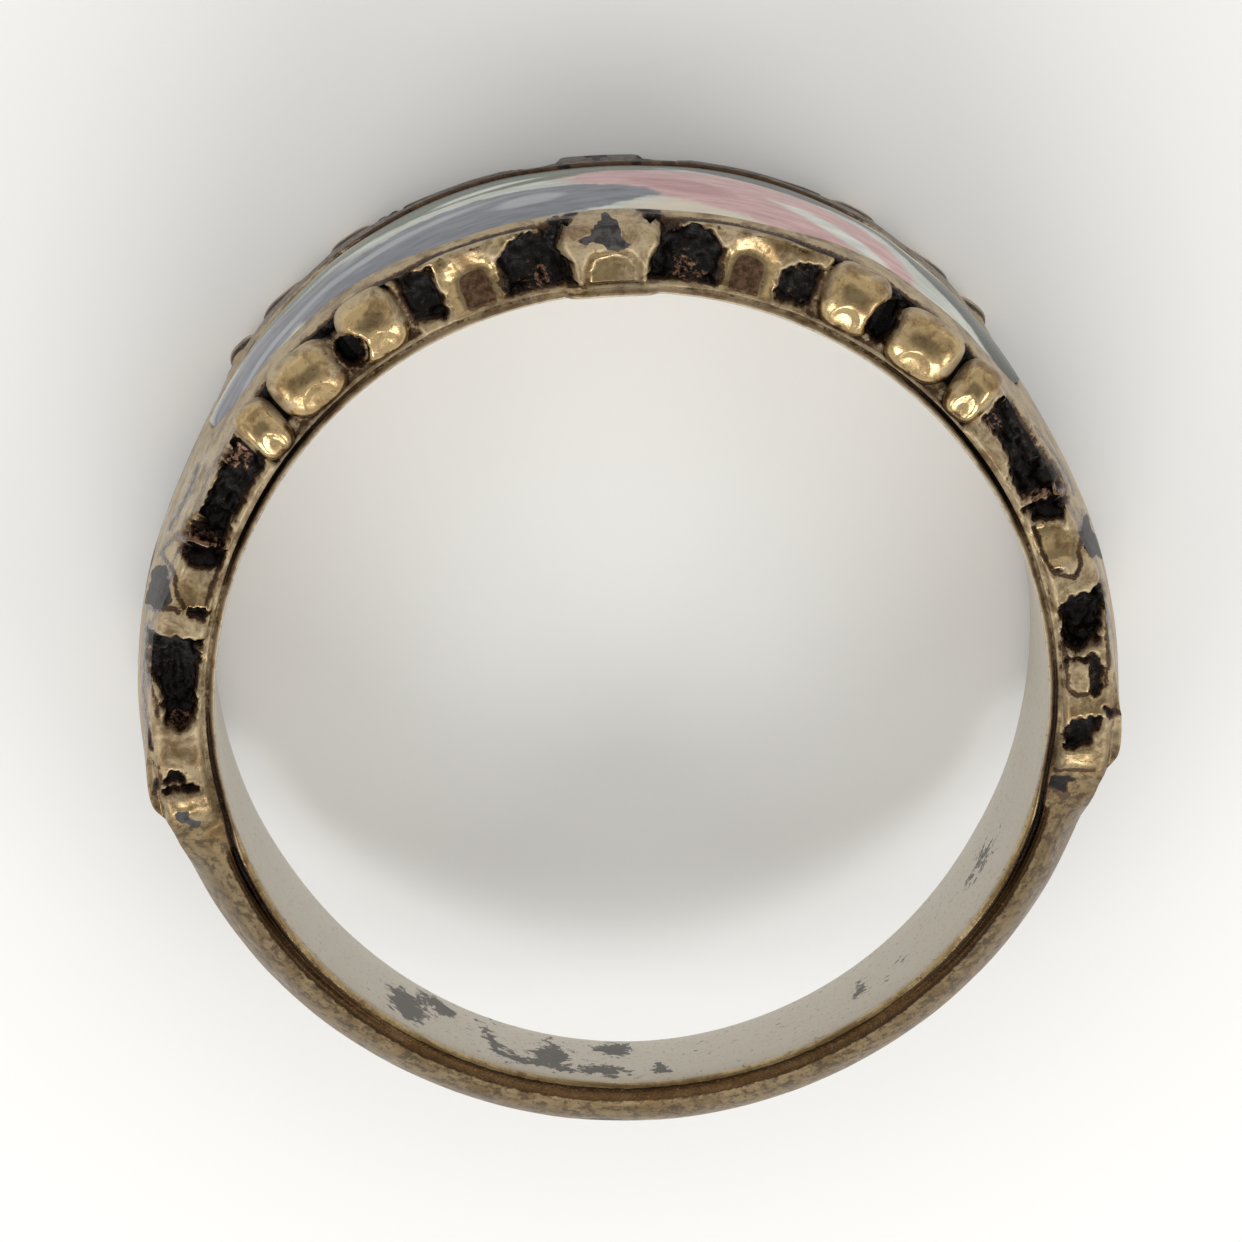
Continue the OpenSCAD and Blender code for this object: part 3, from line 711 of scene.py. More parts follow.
@dataclass(frozen=True)
class GiltFinish:
    """Worn antique gilt: gold-brown where it is polished, matte beige beside, black patina in the hollows."""

    polished: Colour = (0.43, 0.315, 0.160)
    matte: Colour = (0.435, 0.345, 0.215)
    grime: Colour = (0.150, 0.090, 0.040)
    bronze: Colour = (0.075, 0.040, 0.020)
    # Copper showing through the patina, brightened in part as a painted glint
    copper: Colour = (0.46, 0.25, 0.16)
    umber: Colour = (0.200, 0.112, 0.075)
    # Near-black brown of the painted dark reflection on the shank
    shank_dark_reflection: Colour = (0.020, 0.010, 0.004)
    shade: Colour = (0.095, 0.055, 0.012)
    dust: Colour = (0.035, 0.024, 0.013)
    patina: Colour = (0.006, 0.0045, 0.004)
    soot_and_sheen: Colour = (0.034, 0.033, 0.038)
    worn: Colour = (0.066, 0.062, 0.060)
    worn_dark: Colour = (0.026, 0.025, 0.024)
    tarnish: Colour = (0.125, 0.118, 0.106)
    # Pale colour of the finger hole's wall, partly its own colour and partly a painted bright reflection
    inside: Colour = (0.56, 0.515, 0.435)

    def material(self) -> bpy.types.Material:
        """Builds the shader.

        Returns:
            The material. It reads the mesh's stains and its beige, cavity, inside, rim, shank, tarnish
            and radius attributes.
        """
        material, sheet, shader = new_material("gilt_brass")
        place = sheet.object_mm()
        fine = sheet.cloud(place, 6.0, 5.0, 0.65)
        grain = sheet.cloud(place, 22.0, 3.0, 0.6)
        ragged = fine - 0.5
        gold, shank, inside = (sheet.attribute(name) for name in ("gold", "shank", "inside"))

        # Where the matte beige, the grime and the dust of the plain shank lie; the gold attribute, which also
        # holds the painted highlight line of the shank, keeps the beige, the shade and the dust off it
        beige = (sheet.cloud(place, 1.1, 4.0) - 0.5) * 1.6 + sheet.attribute("beige")
        beige = (beige + ragged * 0.7 - gold * 0.60).step(0.18, 0.78)
        streaks = self.streaks(sheet, place) * (shank * 0.75 + 0.25)
        grime = sheet.cloud(place, 1.7, 8.0, 0.72, 0.4).step(0.42, 0.64).larger(streaks) * 0.85
        plain = (shank - gold).clamped()
        dust = sheet.cloud(place, 4.5, 5.0, 0.72).step(0.46, 0.60) * plain

        # Where the patina is brown and where it is black, with copper speckles that are partly painted
        # glints, and with soot patches that are partly a painted sheen
        film = sheet.attribute("patina") + sheet.attribute("cavity") * 0.32
        film = film + ragged * 0.95 + (grain - 0.5) * 0.35
        brown = film.step(0.22, 0.50)
        speckle = sheet.cloud(place, 9.0, 4.0, 0.7).step(0.44, 0.60)
        copper = (ragged * 1.4 + sheet.attribute("copper")).step(0.35, 0.60) * speckle
        black = film.step(0.55, 0.85) * (1.0 - copper * 0.85)
        # Grey-blue patches in the black: partly soot, partly a painted sheen
        soot_and_sheen = sheet.cloud(place, 3.5, 4.0, 0.7).step(0.58, 0.72)

        # Brown floors and the shank's painted dark reflection band, specks all over, grey worn places
        # and the tarnish inside the finger hole
        umber = (ragged * 0.9 + sheet.attribute("brown")).step(0.34, 0.60)
        specks = sheet.cloud(place, 9.0, 5.0, 0.75, 0.3).step(0.57, 0.68)
        grey = (ragged * 0.7 + sheet.attribute("worn")).step(0.38, 0.58)
        spots = (sheet.cloud(place, 2.2, 6.0, 0.72, 0.6) - 0.5) * 2.2 + ragged * 1.1
        spots = (spots + sheet.attribute("tarnish")).step(0.38, 0.50) * inside

        # Each layer's share and colour, from the metal upwards
        umber_colour = sheet.blend(fine.step(0.38, 0.62), self.bronze, self.umber)
        colour = sheet.blend(beige, self.polished, self.matte)
        for share, laid in (
            (grime, self.grime),
            (plain * 0.68, self.shade),
            (dust * 0.75, self.dust),
            # The finger hole's wall in pale beige-grey: partly its own colour, partly a painted bright
            # reflection
            (inside, self.inside),
            (sheet.attribute("rim") * 0.35, self.bronze),
            (brown, sheet.blend(copper, self.bronze, self.copper)),
            # On the shank the brown attribute is the painted dark reflection band, laid in near-black brown
            (umber * 0.94, sheet.blend(shank, umber_colour, self.shank_dark_reflection)),
            (black, sheet.blend(soot_and_sheen, self.patina, self.soot_and_sheen)),
            (specks * 0.75, self.bronze),
            (grey, sheet.blend(fine.step(0.36, 0.62), self.worn_dark, self.worn)),
            (spots, self.tarnish),
        ):
            colour = sheet.blend(share, colour, laid)

        # Each layer's roughness, and how much of the metal's shine it takes away
        rough = sheet.between(beige, 0.12, 0.46)
        for share, laid in ((grime, 0.34), (inside, 0.38), (brown, 0.22), (umber, 0.28), (black, 0.26),
                            (copper, 0.16), (grey, 0.50), (spots, 0.50)):
            rough = sheet.between(share, rough, laid)
        metallic = 1.0 - beige * (1.0 - umber.larger(inside)) * 0.5
        for share, lost in ((black, 0.94), (inside, 0.30), (spots, 0.35), (grey, 0.85)):
            metallic = metallic - share * lost

        lumps = (fine * 0.6 + grain * 0.3) * (beige * 0.7 + 0.3) + fine * black * 1.8
        sheet.feed(shader, {
            "Base Color": colour,
            "Roughness": rough + (grain - 0.5) * 0.12,
            "Metallic": metallic.clamped(),
            "Specular IOR Level": sheet.between(black.larger(grey), 0.22, 0.14),
            "Normal": sheet.bumps(lumps, 0.5, 0.03),
        })
        return material

    def streaks(self, sheet: NodeSheet, place: Value) -> Value:
        """Lays out grime that runs in streaks round the band.

        Args:
            sheet: The material's nodes.
            place: Object coordinates in millimetres.

        Returns:
            1 in a streak and 0 beside it.
        """
        x, y, z = sheet.split(place)
        across = sheet.attribute("radius") * 6.0 + x * 0.45
        beside = z * 6.0 + y * 0.45
        return sheet.cloud(sheet.joined(across, beside), 0.8, 5.0, 0.65).step(0.50, 0.64)


@dataclass(frozen=True)
class Petal:
    """One painted petal, leaf or vein of the enamel's design, in millimetres on the unrolled panel."""

    colour: Colour
    along: float
    across: float
    half_length: float
    half_width: float
    turn: float
    taper: float = 0.0
    soft: float = 0.12
    streaks: float = 0.25


SAGE = (0.40, 0.43, 0.37)
PALE = (0.55, 0.56, 0.52)
CREAM = (0.56, 0.50, 0.41)
BLUE = (0.165, 0.172, 0.198)
BLUE_LIGHT = (0.32, 0.33, 0.355)
PINK = (0.50, 0.315, 0.31)
PINK_DEEP = (0.40, 0.225, 0.23)
GREEN = (0.085, 0.115, 0.060)
GREEN_DARK = (0.032, 0.048, 0.026)
GREEN_GREY = (0.034, 0.042, 0.034)

PETALS = (
    Petal(CREAM, -3.9, 2.25, 3.4, 0.75, -4, soft=0.3),
    Petal(GREEN_DARK, 4.6, -1.30, 6.0, 1.15, 3, soft=0.25, streaks=0.8),
    Petal(GREEN, 1.6, -0.70, 3.0, 0.55, 4, soft=0.3, streaks=0.8),
    Petal(GREEN, 6.6, -0.35, 2.2, 0.30, 6, soft=0.3, streaks=0.8),
    Petal(PALE, 6.0, -1.30, 0.9, 0.35, 8, taper=0.3, soft=0.8, streaks=1.0),
    Petal(PALE, 2.4, -0.55, 1.2, 0.18, 8, taper=-0.3, soft=0.6, streaks=0.8),
    Petal(GREEN_GREY, -5.6, -1.05, 4.6, 0.85, -5, soft=0.25, streaks=0.8),
    Petal(GREEN_GREY, -8.4, 0.10, 3.0, 0.85, -16, soft=0.25, streaks=0.8),
    Petal(GREEN_GREY, -1.6, -1.75, 2.6, 0.70, -2, soft=0.3, streaks=0.8),
    Petal(PALE, -6.6, -0.75, 1.1, 0.26, -12, soft=0.8, streaks=1.0),
    Petal(PINK, -3.0, 0.75, 4.0, 1.30, -13, taper=0.15, soft=0.16, streaks=0.7),
    Petal(PINK_DEEP, -1.6, 0.65, 1.2, 0.5, -22, soft=0.6, streaks=0.7),
    Petal(PALE, -5.0, 1.25, 1.6, 0.28, -24, soft=0.6, streaks=0.8),
    Petal(BLUE, 8.4, 0.80, 3.4, 0.80, 4, soft=0.5, streaks=1.0),
    Petal(BLUE, 3.0, 1.40, 4.1, 1.10, 2, taper=-0.12, soft=0.1, streaks=0.9),
    Petal(BLUE_LIGHT, 1.6, 1.15, 0.75, 0.3, 8, soft=0.5),
    Petal(BLUE_LIGHT, 4.4, 0.9, 2.2, 0.16, 6, soft=0.8),
    Petal(BLUE_LIGHT, 7.6, 1.1, 1.8, 0.14, 6, soft=0.8),
)


@dataclass(frozen=True)
class EnamelFinish:
    """Glossy painted enamel: petals and leaves whose colours run into each other without metal walls."""

    ground: Colour = SAGE
    petals: tuple[Petal, ...] = PETALS

    def petal_mask(self, along: Value, across: Value, ragged: Value, petal: Petal) -> Value:
        """Lays out one petal's mask.

        Args:
            along: Place along the panel, in millimetres.
            across: Place across the panel, in millimetres.
            ragged: Noise round 0 that makes the outline uneven.
            petal: The petal.

        Returns:
            1 inside the petal and 0 outside it.
        """
        cosine, sine = math.cos(math.radians(petal.turn)), math.sin(math.radians(petal.turn))
        x, y = along - petal.along, across - petal.across
        lengthwise = y * (sine / petal.half_length) + x * (cosine / petal.half_length)
        sideways = y * (cosine / petal.half_width) + x * (-sine / petal.half_width)
        sideways = sideways / (lengthwise * -petal.taper + 1.0)
        reach = abs(lengthwise) ** 2.0 + abs(sideways) ** 1.7 + ragged * 0.55
        return reach.step(1.0 + petal.soft, 1.0 - petal.soft)

    def material(self) -> bpy.types.Material:
        """Builds the shader.

        Returns:
            The material. It reads the mesh's panel attribute, the place on the unrolled panel.
        """
        material, sheet, shader = new_material("painted_enamel")
        panel = sheet.attribute("panel", "Vector")
        along, across, _ = sheet.split(panel)
        ragged = sheet.cloud(panel, 2.2, 3.0) - 0.5
        stretched = sheet.vector_math("MULTIPLY", panel, (0.7, 3.4, 1.0))
        strokes = sheet.cloud(stretched, 1.5, 5.0, 0.62, 0.4)
        colour = sheet.blend(strokes.step(0.35, 0.65), self.ground, PALE)
        for petal in self.petals:
            shade = (strokes - 0.5) * (petal.streaks * 1.6) + 1.0
            mask = self.petal_mask(along, across, ragged, petal)
            colour = sheet.blend(mask, colour, sheet.scaled(petal.colour, shade))
        specks = sheet.cloud(panel, 14.0, 4.0, 0.7)
        sheet.feed(shader, {
            "Base Color": sheet.blend(specks.step(0.62, 0.75) * 0.25, colour, GREEN_GREY),
            "Roughness": sheet.between(specks.step(0.5, 0.8), 0.20, 0.32),
            "Specular IOR Level": 0.24,
            "Normal": sheet.bumps(sheet.cloud(panel, 3.0, 3.0, 0.5), 0.25, 0.02),
        })
        return material


def add_object(name: str, data: bpy.types.ID) -> bpy.types.Object:
    """Puts a mesh, light or camera into the scene.

    Args:
        name: The object's name.
        data: The mesh, light or camera.

    Returns:
        The object.
    """
    made = bpy.data.objects.new(name, data)
    bpy.context.scene.collection.objects.link(made)
    return made


def mesh_object(name: str, points: Array, quads: Array,
                caps: Sequence[Sequence[int]] = ()) -> bpy.types.Object:
    """Makes a smooth-shaded object with its faces outwards.

    Args:
        name: The object's name.
        points: Points in metres, one row each.
        quads: Corner numbers of the four-sided faces.
        caps: Corner numbers of any other faces.

    Returns:
        The object, linked to the scene.
    """
    mesh = bpy.data.meshes.new(name)
    faces = quads.tolist() + [list(cap) for cap in caps]
    mesh.from_pydata(points.tolist(), [], faces)
    mesh.polygons.foreach_set("use_smooth", np.ones(len(faces), bool))
    mesh.update()
    return add_object(name, mesh)


def store(mesh: bpy.types.Mesh, name: str, values: Array, vectors: bool = False) -> None:
    """Stores a number or a vector for each point of a mesh, as an attribute.

    Args:
        mesh: The mesh.
        name: The attribute's name.
        values: The numbers or vectors, in the points' order.
        vectors: Whether they are vectors.
    """
    layer = mesh.attributes.new(name, "FLOAT_VECTOR" if vectors else "FLOAT", "POINT")
    flat = np.ascontiguousarray(values, dtype=np.float32).ravel()
    layer.data.foreach_set("vector" if vectors else "value", flat)


def loop_quads(rings: int, around: int, closed: bool) -> Array:
    """Joins rings of points into quads.

    Args:
        rings: The count of rings.
        around: The points of each ring.
        closed: Whether the last ring joins the first.

    Returns:
        Corner numbers, a row for each quad.
    """
    i = np.arange(rings if closed else rings - 1)[:, None]
    j = np.arange(around)[None, :]
    after, beside = (i + 1) % rings, (j + 1) % around
    corners = [i * around + j, i * around + beside, after * around + beside, after * around + j]
    return np.stack(np.broadcast_arrays(*corners), axis=-1).reshape(-1, 4)


class HalfSections:
    """Collects the points of the band's half sections, one for each angle, with their stains."""

    def __init__(self, count: int) -> None:
        """Starts without points.

        Args:
            count: The count of sections.
        """
        self.even = np.zeros(count)
        self.points: list[dict[str, Array]] = []

    def add(self, radius: Array, height: Array, **stains: Array) -> None:
        """Adds one point to every half section.

        Args:
            radius: Millimetres from the finger axis.
            height: Millimetres over the ring's middle.
            stains: Strengths by the stain's name; a stain that isn't given is 0.
        """
        point = {"radius": radius + self.even, "height": height + self.even}
        point.update({stain.value: stains.get(stain.value, 0.0) + self.even for stain in Stain})
        self.points.append(point)

    def rows(self) -> dict[str, Array]:
        """Gives radius, height and stains by name, a row for each section."""
        return {name: np.stack([point[name] for point in self.points], axis=1) for name in self.points[0]}


@dataclass
class GiltBand:
    """The cast band: sleeve, crown and shoulders with their relief, bezel, recess and shank.

    Sizes are in millimetres and angles in degrees from the crown's middle. A name that ends in _t is
    a distance from the wall of the finger hole.
    """

    gauge: RingGauge
    finish: GiltFinish
    core_points: tuple[float, ...] = (0.0, 0.6)
    edge_count: int = 10
    rim_round: float = 0.06
    shank_round: float = 0.15
    rim_t: float = 0.08
    rim_edge_t: float = 0.10
    groove_t: float = 0.165
    groove_half: float = 0.035
    ledge_t: float = 0.225
    foot_t: float = 0.29
    view_slope: float = 0.25
    view_height: float = 3.4
    face_drop: float = 0.05
    face_count: int = 26
    face_r: float = 9.9
    face_span: float = 1.1
    ground_fullness: float = 7
    dirty: float = 0.5
    clean_ragged: float = 0.3
    dirt_from: float = -0.11
    dirt_full: float = 0.15
    floor_share: float = 0.42
    floor_fade: float = 0.16
    outer_count: int = 13
    panel_half: float = 56.5
    enamel_t: float = 0.30
    panel_end_w: float = 0.30
    bezel_rise: float = 0.03
    bezel_at: float = 0.09
    bezel_half: float = 0.07
    bezel_lip: float = 0.07
    channel_depth: float = 0.07
    channel_at: float = 2.90
    channel_half: float = 0.14
    boss_half: float = 6.0
    crown_end: float = 45.0
    shoulder_start: float = 53.0
    shoulder_lift: float = 0.04
    edge_drop: float = 0.10
    pit_depth: float = 0.06
    blend_from: float = 103.0
    blend_to: float = 113.0
    fine_step: float = 0.30
    shank_step: float = 1.0
    fine_end: float = 116.0
    lump: float = 0.012
    far_patina: float = 0.56
    # Strength of the painted dark reflection where it starts on the shank
    dark_reflection_strength: float = 0.62
    beige: float = 0.74

    def stations(self) -> Array:
        """Spaces the sections closely over the crown and shoulders and wider round the shank.

        Returns:
            Their angles in degrees, from one end of the fine stretch round to the same end again.
        """
        side = np.arange(-self.fine_end, self.fine_end, self.fine_step)
        back = np.arange(self.fine_end, 360 - self.fine_end, self.shank_step)
        return np.concatenate([side, back])

    def panel_width(self, angle: Array) -> Array:
        """Half width of the enamel's recess at an angle from the crown's middle."""
        return smooth_run(PANEL_RUN, 1, angle) * pillow(angle / self.panel_half, 7)

    def unrolled(self, points: Outline) -> list[tuple[float, float]]:
        """Turns angles and radii on the relief face into millimetres along it and radii."""
        return [(math.radians(angle) * self.face_r, radius) for angle, radius in points]

    def inside_of(self, outline: Outline, side: Side, angle: Array, radius: Array) -> Array:
        """Measures how far inside an outline places of the relief lie, on the sides that it is on.

        Args:
            outline: Angles and radii.
            side: The side that it is on; an outline on the right is given by angles to the right.
            angle: Signed degrees from the crown's middle.
            radius: Millimetres from the finger axis.

        Returns:
            Millimetres inside the outline, negative outside it.
        """
        turned = np.abs(angle) if side is Side.BOTH else angle * side.value
        return depth_inside(np.radians(turned) * self.face_r, radius, self.unrolled(outline))

    def relief(self, angle: Array, radius: Array) -> dict[str, Array]:
        """Works out the relief face.

        Args:
            angle: Signed degrees from the crown's middle, for each place of the face.
            radius: Millimetres from the finger axis.

        Returns:
            Height over the plain face, and the strength of each stain, by name.
        """
        folded = np.abs(angle)
        x = np.radians(angle) * self.face_r
        across = np.clip((radius - self.gauge.bore_r - self.foot_t) / self.face_span, 0, 1)
        inner, outer = (smooth_run(GROUND_RUN, k, folded) for k in (1, 2))
        height = inner + (outer - inner) * across
        height = height * pillow(2 * across - 1, self.ground_fullness)
        height = height + ripples(x, radius, GROUND_RIPPLES)
        ground = height
        ragged = ripples(x, radius, OUTLINE_RIPPLES)
        lumps = ripples(x, radius, FLOOR_RIPPLES)
        found = {stain.value: np.zeros_like(height) for stain in Stain}
        for form in FORMS:
            deep = self.inside_of(form.outline, form.side, angle, radius)
            deep = deep + ragged * (1.0 if form.patina > self.dirty else self.clean_ragged)
            share = ramp(deep, -form.wall / 2, form.wall / 2)
            low, high = (f([a for a, _ in form.outline]) for f in (min, max))
            along = ramp(folded, low, high)
            floor = form.levels[0] + (form.levels[1] - form.levels[0]) * along + form.lumps * lumps
            height = height + (floor - height) * share
            dirt = ramp(deep, self.dirt_from, self.dirt_full)
            floor_from = self.floor_share * form.wall
            floor_dirt = ramp(deep, floor_from, floor_from + self.floor_fade)
            for stain, amount, laid in ((Stain.PATINA, form.patina, dirt), (Stain.COPPER, form.copper, dirt),
                                        (Stain.BROWN, form.brown, floor_dirt)):
                found[stain.value] = found[stain.value] + (amount - found[stain.value]) * laid
        for mark in MARKS:
            deep = self.inside_of(mark.outline, mark.side, angle, radius) + ragged
            share = mark.strength * ramp(deep, -mark.soft / 2, mark.soft / 2)
            found[mark.stain.value] = np.maximum(found[mark.stain.value], share)
        for seam in SEAMS:
            places = x * seam.side.value, radius + self.clean_ragged * ragged
            line = hill(beside_run(*places, self.unrolled(seam.points)), half=seam.half_width)
            height = height - seam.depth * line
            found[Stain.PATINA.value] = np.maximum(found[Stain.PATINA.value], seam.strength * line)
        found["height"] = height
        found["sunk"] = height - ground
        return found

    def as_seen(self, angle: Array, radius: Array, height: Array) -> tuple[Array, Array]:
        """Finds where a place below the relief face shows, for the outlines are drawn as they are seen.

        Args:
            angle: Signed degrees from the crown's middle.
            radius: Millimetres from the finger axis.
            height: Millimetres over the ring's middle.

        Returns:
            Angle and radius of the place of the relief face that it lines up with.
        """
        turned = np.radians(angle)
        across = radius * np.sin(turned)
        upwards = radius * np.cos(turned) + self.view_slope * (self.view_height - height)
        return np.degrees(np.arctan2(across, upwards)), np.hypot(across, upwards)

    def crown_half(self, signed: Array) -> dict[str, Array]:
        """Half sections of the crown and shoulders, from the bore's middle to the outer middle.

        Args:
            signed: Signed degrees from the crown's middle, one for each section.

        Returns:
            Radius, height over the middle and the stains by name, a row for each section.
        """
        angle = np.abs(signed)
        widest = BAND_RUN[0][Column.HALF_WIDTH]
        width = np.minimum(widest, smooth_run(BAND_RUN, Column.HALF_WIDTH, angle))
        rim = width + (self.gauge.half_width - widest) * pillow(angle / self.boss_half, 3)
        face = width - self.face_drop
        reach = smooth_run(REACH_RUN, 1, angle)
        sections = HalfSections(len(angle))
        self.add_sleeve(sections, angle, rim, face)
        self.add_face(sections, signed, face, reach)
        self.add_outside(sections, signed, face, reach)
        return sections.rows()

    def add_sleeve(self, sections: HalfSections, angle: Array, rim: Array, face: Array) -> None:
        """Adds the finger hole's wall, its rounded rim and the groove between the rim and the relief.

        Args:
            sections: The half sections.
            angle: Degrees from the crown's middle, one for each section.
            rim: Height of the rim over the middle, likewise.
            face: Height of the plain face over the middle, likewise.
        """
        bore = self.gauge.bore_r
        columns = (Column.GROOVE, Column.GROOVE_PATINA)
        groove, dirt = (smooth_run(BAND_RUN, column, angle) for column in columns)
        for share in self.core_points:
            sections.add(bore, share * (rim - self.rim_round))
        for turn in np.radians((0, 30, 60, 90)):
            across, down = self.rim_round * (1 - np.cos(turn)), self.rim_round * (1 - np.sin(turn))
            sections.add(bore + across, rim - down, patina=0.42 * dirt * np.sin(2 * turn) ** 2)
        sections.add(bore + self.rim_t, rim - 0.004)
        sections.add(bore + self.rim_edge_t, rim - 0.03 - 0.15 * groove, patina=0.25 * dirt)
        middle = (face + rim) / 2
        for side, share, dark in ((-1, 0.8, 0.9), (0, 1.0, 1.0), (1, 0.75, 0.9)):
            place = bore + self.groove_t + side * self.groove_half
            sections.add(place, middle - share * groove, patina=dark * dirt)
        sections.add(bore + self.ledge_t, face - 0.01, patina=0.15 * dirt)

    def add_face(self, sections: HalfSections, signed: Array, face: Array, reach: Array) -> None:
        """Adds the relief face.

        Args:
            sections: The half sections.
            signed: Signed degrees from the crown's middle, one for each section.
            face: Height of the plain face over the middle, likewise.
            reach: Wall to the relief's outer edge, likewise.
        """
        place = np.linspace(0, 1, self.face_count)
        radius = self.gauge.bore_r + self.foot_t + (reach[:, None] - self.foot_t) * place[None, :]
        relief = self.relief(signed[:, None] + 0 * radius, radius)
        for k in range(self.face_count):
            stains = {stain.value: relief[stain.value][:, k] for stain in Stain}
            sections.add(radius[:, k], face + relief["height"][:, k], **stains)

    def add_outside(self, sections: HalfSections, signed: Array, face: Array, reach: Array) -> None:
        """Adds the outside, from the relief's edge over channel and bezel, and the enamel's recess.

        Args:
            sections: The half sections.
            signed: Signed degrees from the crown's middle, one for each section.
            face: Height of the plain face over the middle, likewise.
            reach: Wall to the relief's outer edge, likewise.
        """
        bore, angle = self.gauge.bore_r, np.abs(signed)
        wall = smooth_run(BAND_RUN, Column.WALL, angle)
        edge = np.maximum(self.panel_width(angle), self.panel_end_w)
        framed = self.panel_width(angle) > self.panel_end_w
        zone = ramp(angle, self.shoulder_start, self.crown_end)
        outer = bore + wall + np.where(framed, 0.0, self.shoulder_lift * (1 - zone))
        top, high = bore + reach, face - self.edge_drop
        scallop = sum(hill(angle, middle, half) for middle, half in SCALLOPS)
        for v in np.linspace(0, 1, self.outer_count):
            height = high + (edge - high) * v
            crown_share = ramp(v, -1 / 12, 1 / 4)
            shoulder_share = 1 - (height / high) ** 2.2
            radius = top + (outer - top) * (shoulder_share + (crown_share - shoulder_share) * zone)
            line = hill(height, self.channel_at, self.channel_half)
            line = line * ramp(angle, self.boss_half - 0.5, self.boss_half + 1.0)
            channel = self.channel_depth * line * zone
            pit = self.pit_depth * scallop * hill(v, 0.12, 0.18) * zone
            bezel = self.bezel_rise * hill(height - edge, self.bezel_at, self.bezel_half) * zone
            crevice = ramp(angle, 26, 28) * hill(v, 0.04, 0.10)
            crevice = crevice + 0.8 * scallop * hill(v, 0.12, 0.14)
            lip = np.maximum(0.72 * line, crevice) * zone + 0.5 * hill(v, 0.14, 0.07) * (1 - zone)
            seen = self.relief(*self.as_seen(signed, radius, height))
            sunk = np.minimum(seen["sunk"], 0) * ramp(v, 0.45, 0.0) * 0.55
            stains = {stain.value: seen[stain.value] for stain in Stain}
            stains["patina"] = np.maximum(lip, stains["patina"])
            sections.add(radius + bezel - channel - pit + sunk, height + sunk, **stains)
        depth = np.where(framed, self.enamel_t, 0.0)
        lip_r = outer - np.where(framed, self.bezel_lip, 0.0)
        sections.add(lip_r, np.where(framed, edge, edge * 0.66), patina=0.4 * framed)
        sections.add(outer - depth, np.where(framed, edge, edge * 0.33))
        sections.add(outer - depth, 0.0)

    @property
    def lead(self) -> int:
        """Points of a half section before its relief face or D-shaped outside."""
        return len(self.core_points) + self.edge_count

    def shank_half(self, angle: Array, count: int) -> tuple[Array, Array]:
        """Half sections of the plain D-shaped shank.

        Args:
            angle: Degrees from the crown's middle, one for each section.
            count: Points in a half section.

        Returns:
            Radius and height over the middle, a row for each section.
        """
        bore, edge_r = self.gauge.bore_r, self.shank_round
        columns = (Column.HALF_WIDTH, Column.WALL, Column.GROOVE)
        width, wall, groove = (smooth_run(BAND_RUN, column, angle)[:, None] for column in columns)
        # The rounded rim, the groove beside it and the D-shaped outside
        arc = edge_r * (1 - np.cos(np.radians((0, 25, 52, 80))))
        beside = edge_r + np.array((0.03, 0.06, 0.09, 0.12, 0.15, 0.19))
        sunk = np.array((0.0, 0.3, 0.85, 1.0, 0.8, 0.3))
        first = np.arcsin(beside[-1] / wall) + 0.04
        spread = np.linspace(0, 1, count - self.lead)[None, :]
        core = np.zeros((len(angle), len(self.core_points)))
        dome = wall * np.sin(first + (np.pi / 2 - first) * spread)
        out = np.concatenate([core, arc + 0 * width, beside + 0 * width, dome], axis=1)
        height = width * np.sqrt(np.clip(1 - (out / wall) ** 2, 0, 1)) ** 0.9
        inner = np.clip(edge_r - out, 0, edge_r)
        height = height - (edge_r - np.sqrt(edge_r ** 2 - inner ** 2))
        first_groove = len(self.core_points) + len(arc)
        height[:, first_groove:self.lead] -= sunk * groove
        shares = np.array(self.core_points)[None, :]
        height[:, :len(self.core_points)] = shares * (width - edge_r)
        return bore + out, height

    def cavities(self, points: Array) -> Array:
        """Finds how hollow the surface is at each point.

        Args:
            points: Points of the band in metres, a row for each section.

        Returns:
            From 0 on flats and crests to 1 in creases.
        """
        across = np.roll(points, -1, 0) - np.roll(points, 1, 0)
        around = np.roll(points, -1, 1) - np.roll(points, 1, 1)
        normal = np.cross(across, around)
        normal /= np.linalg.norm(normal, axis=-1, keepdims=True) + 1e-12
        centre = points.mean(axis=(0, 1))
        outward = points - centre
        flip = np.sign((normal * outward).sum(-1).mean())
        result = np.zeros(points.shape[:2])
        for reach_across, reach_around in ((2, 1), (5, 2)):
            mean = (np.roll(points, reach_across, 0) + np.roll(points, -reach_across, 0)
                    + np.roll(points, reach_around, 1) + np.roll(points, -reach_around, 1)) / 4
            hollow = ((mean - points) * normal).sum(-1) * flip / MM
            result += np.clip(hollow / 0.03, 0, 1) * 0.5
        return result

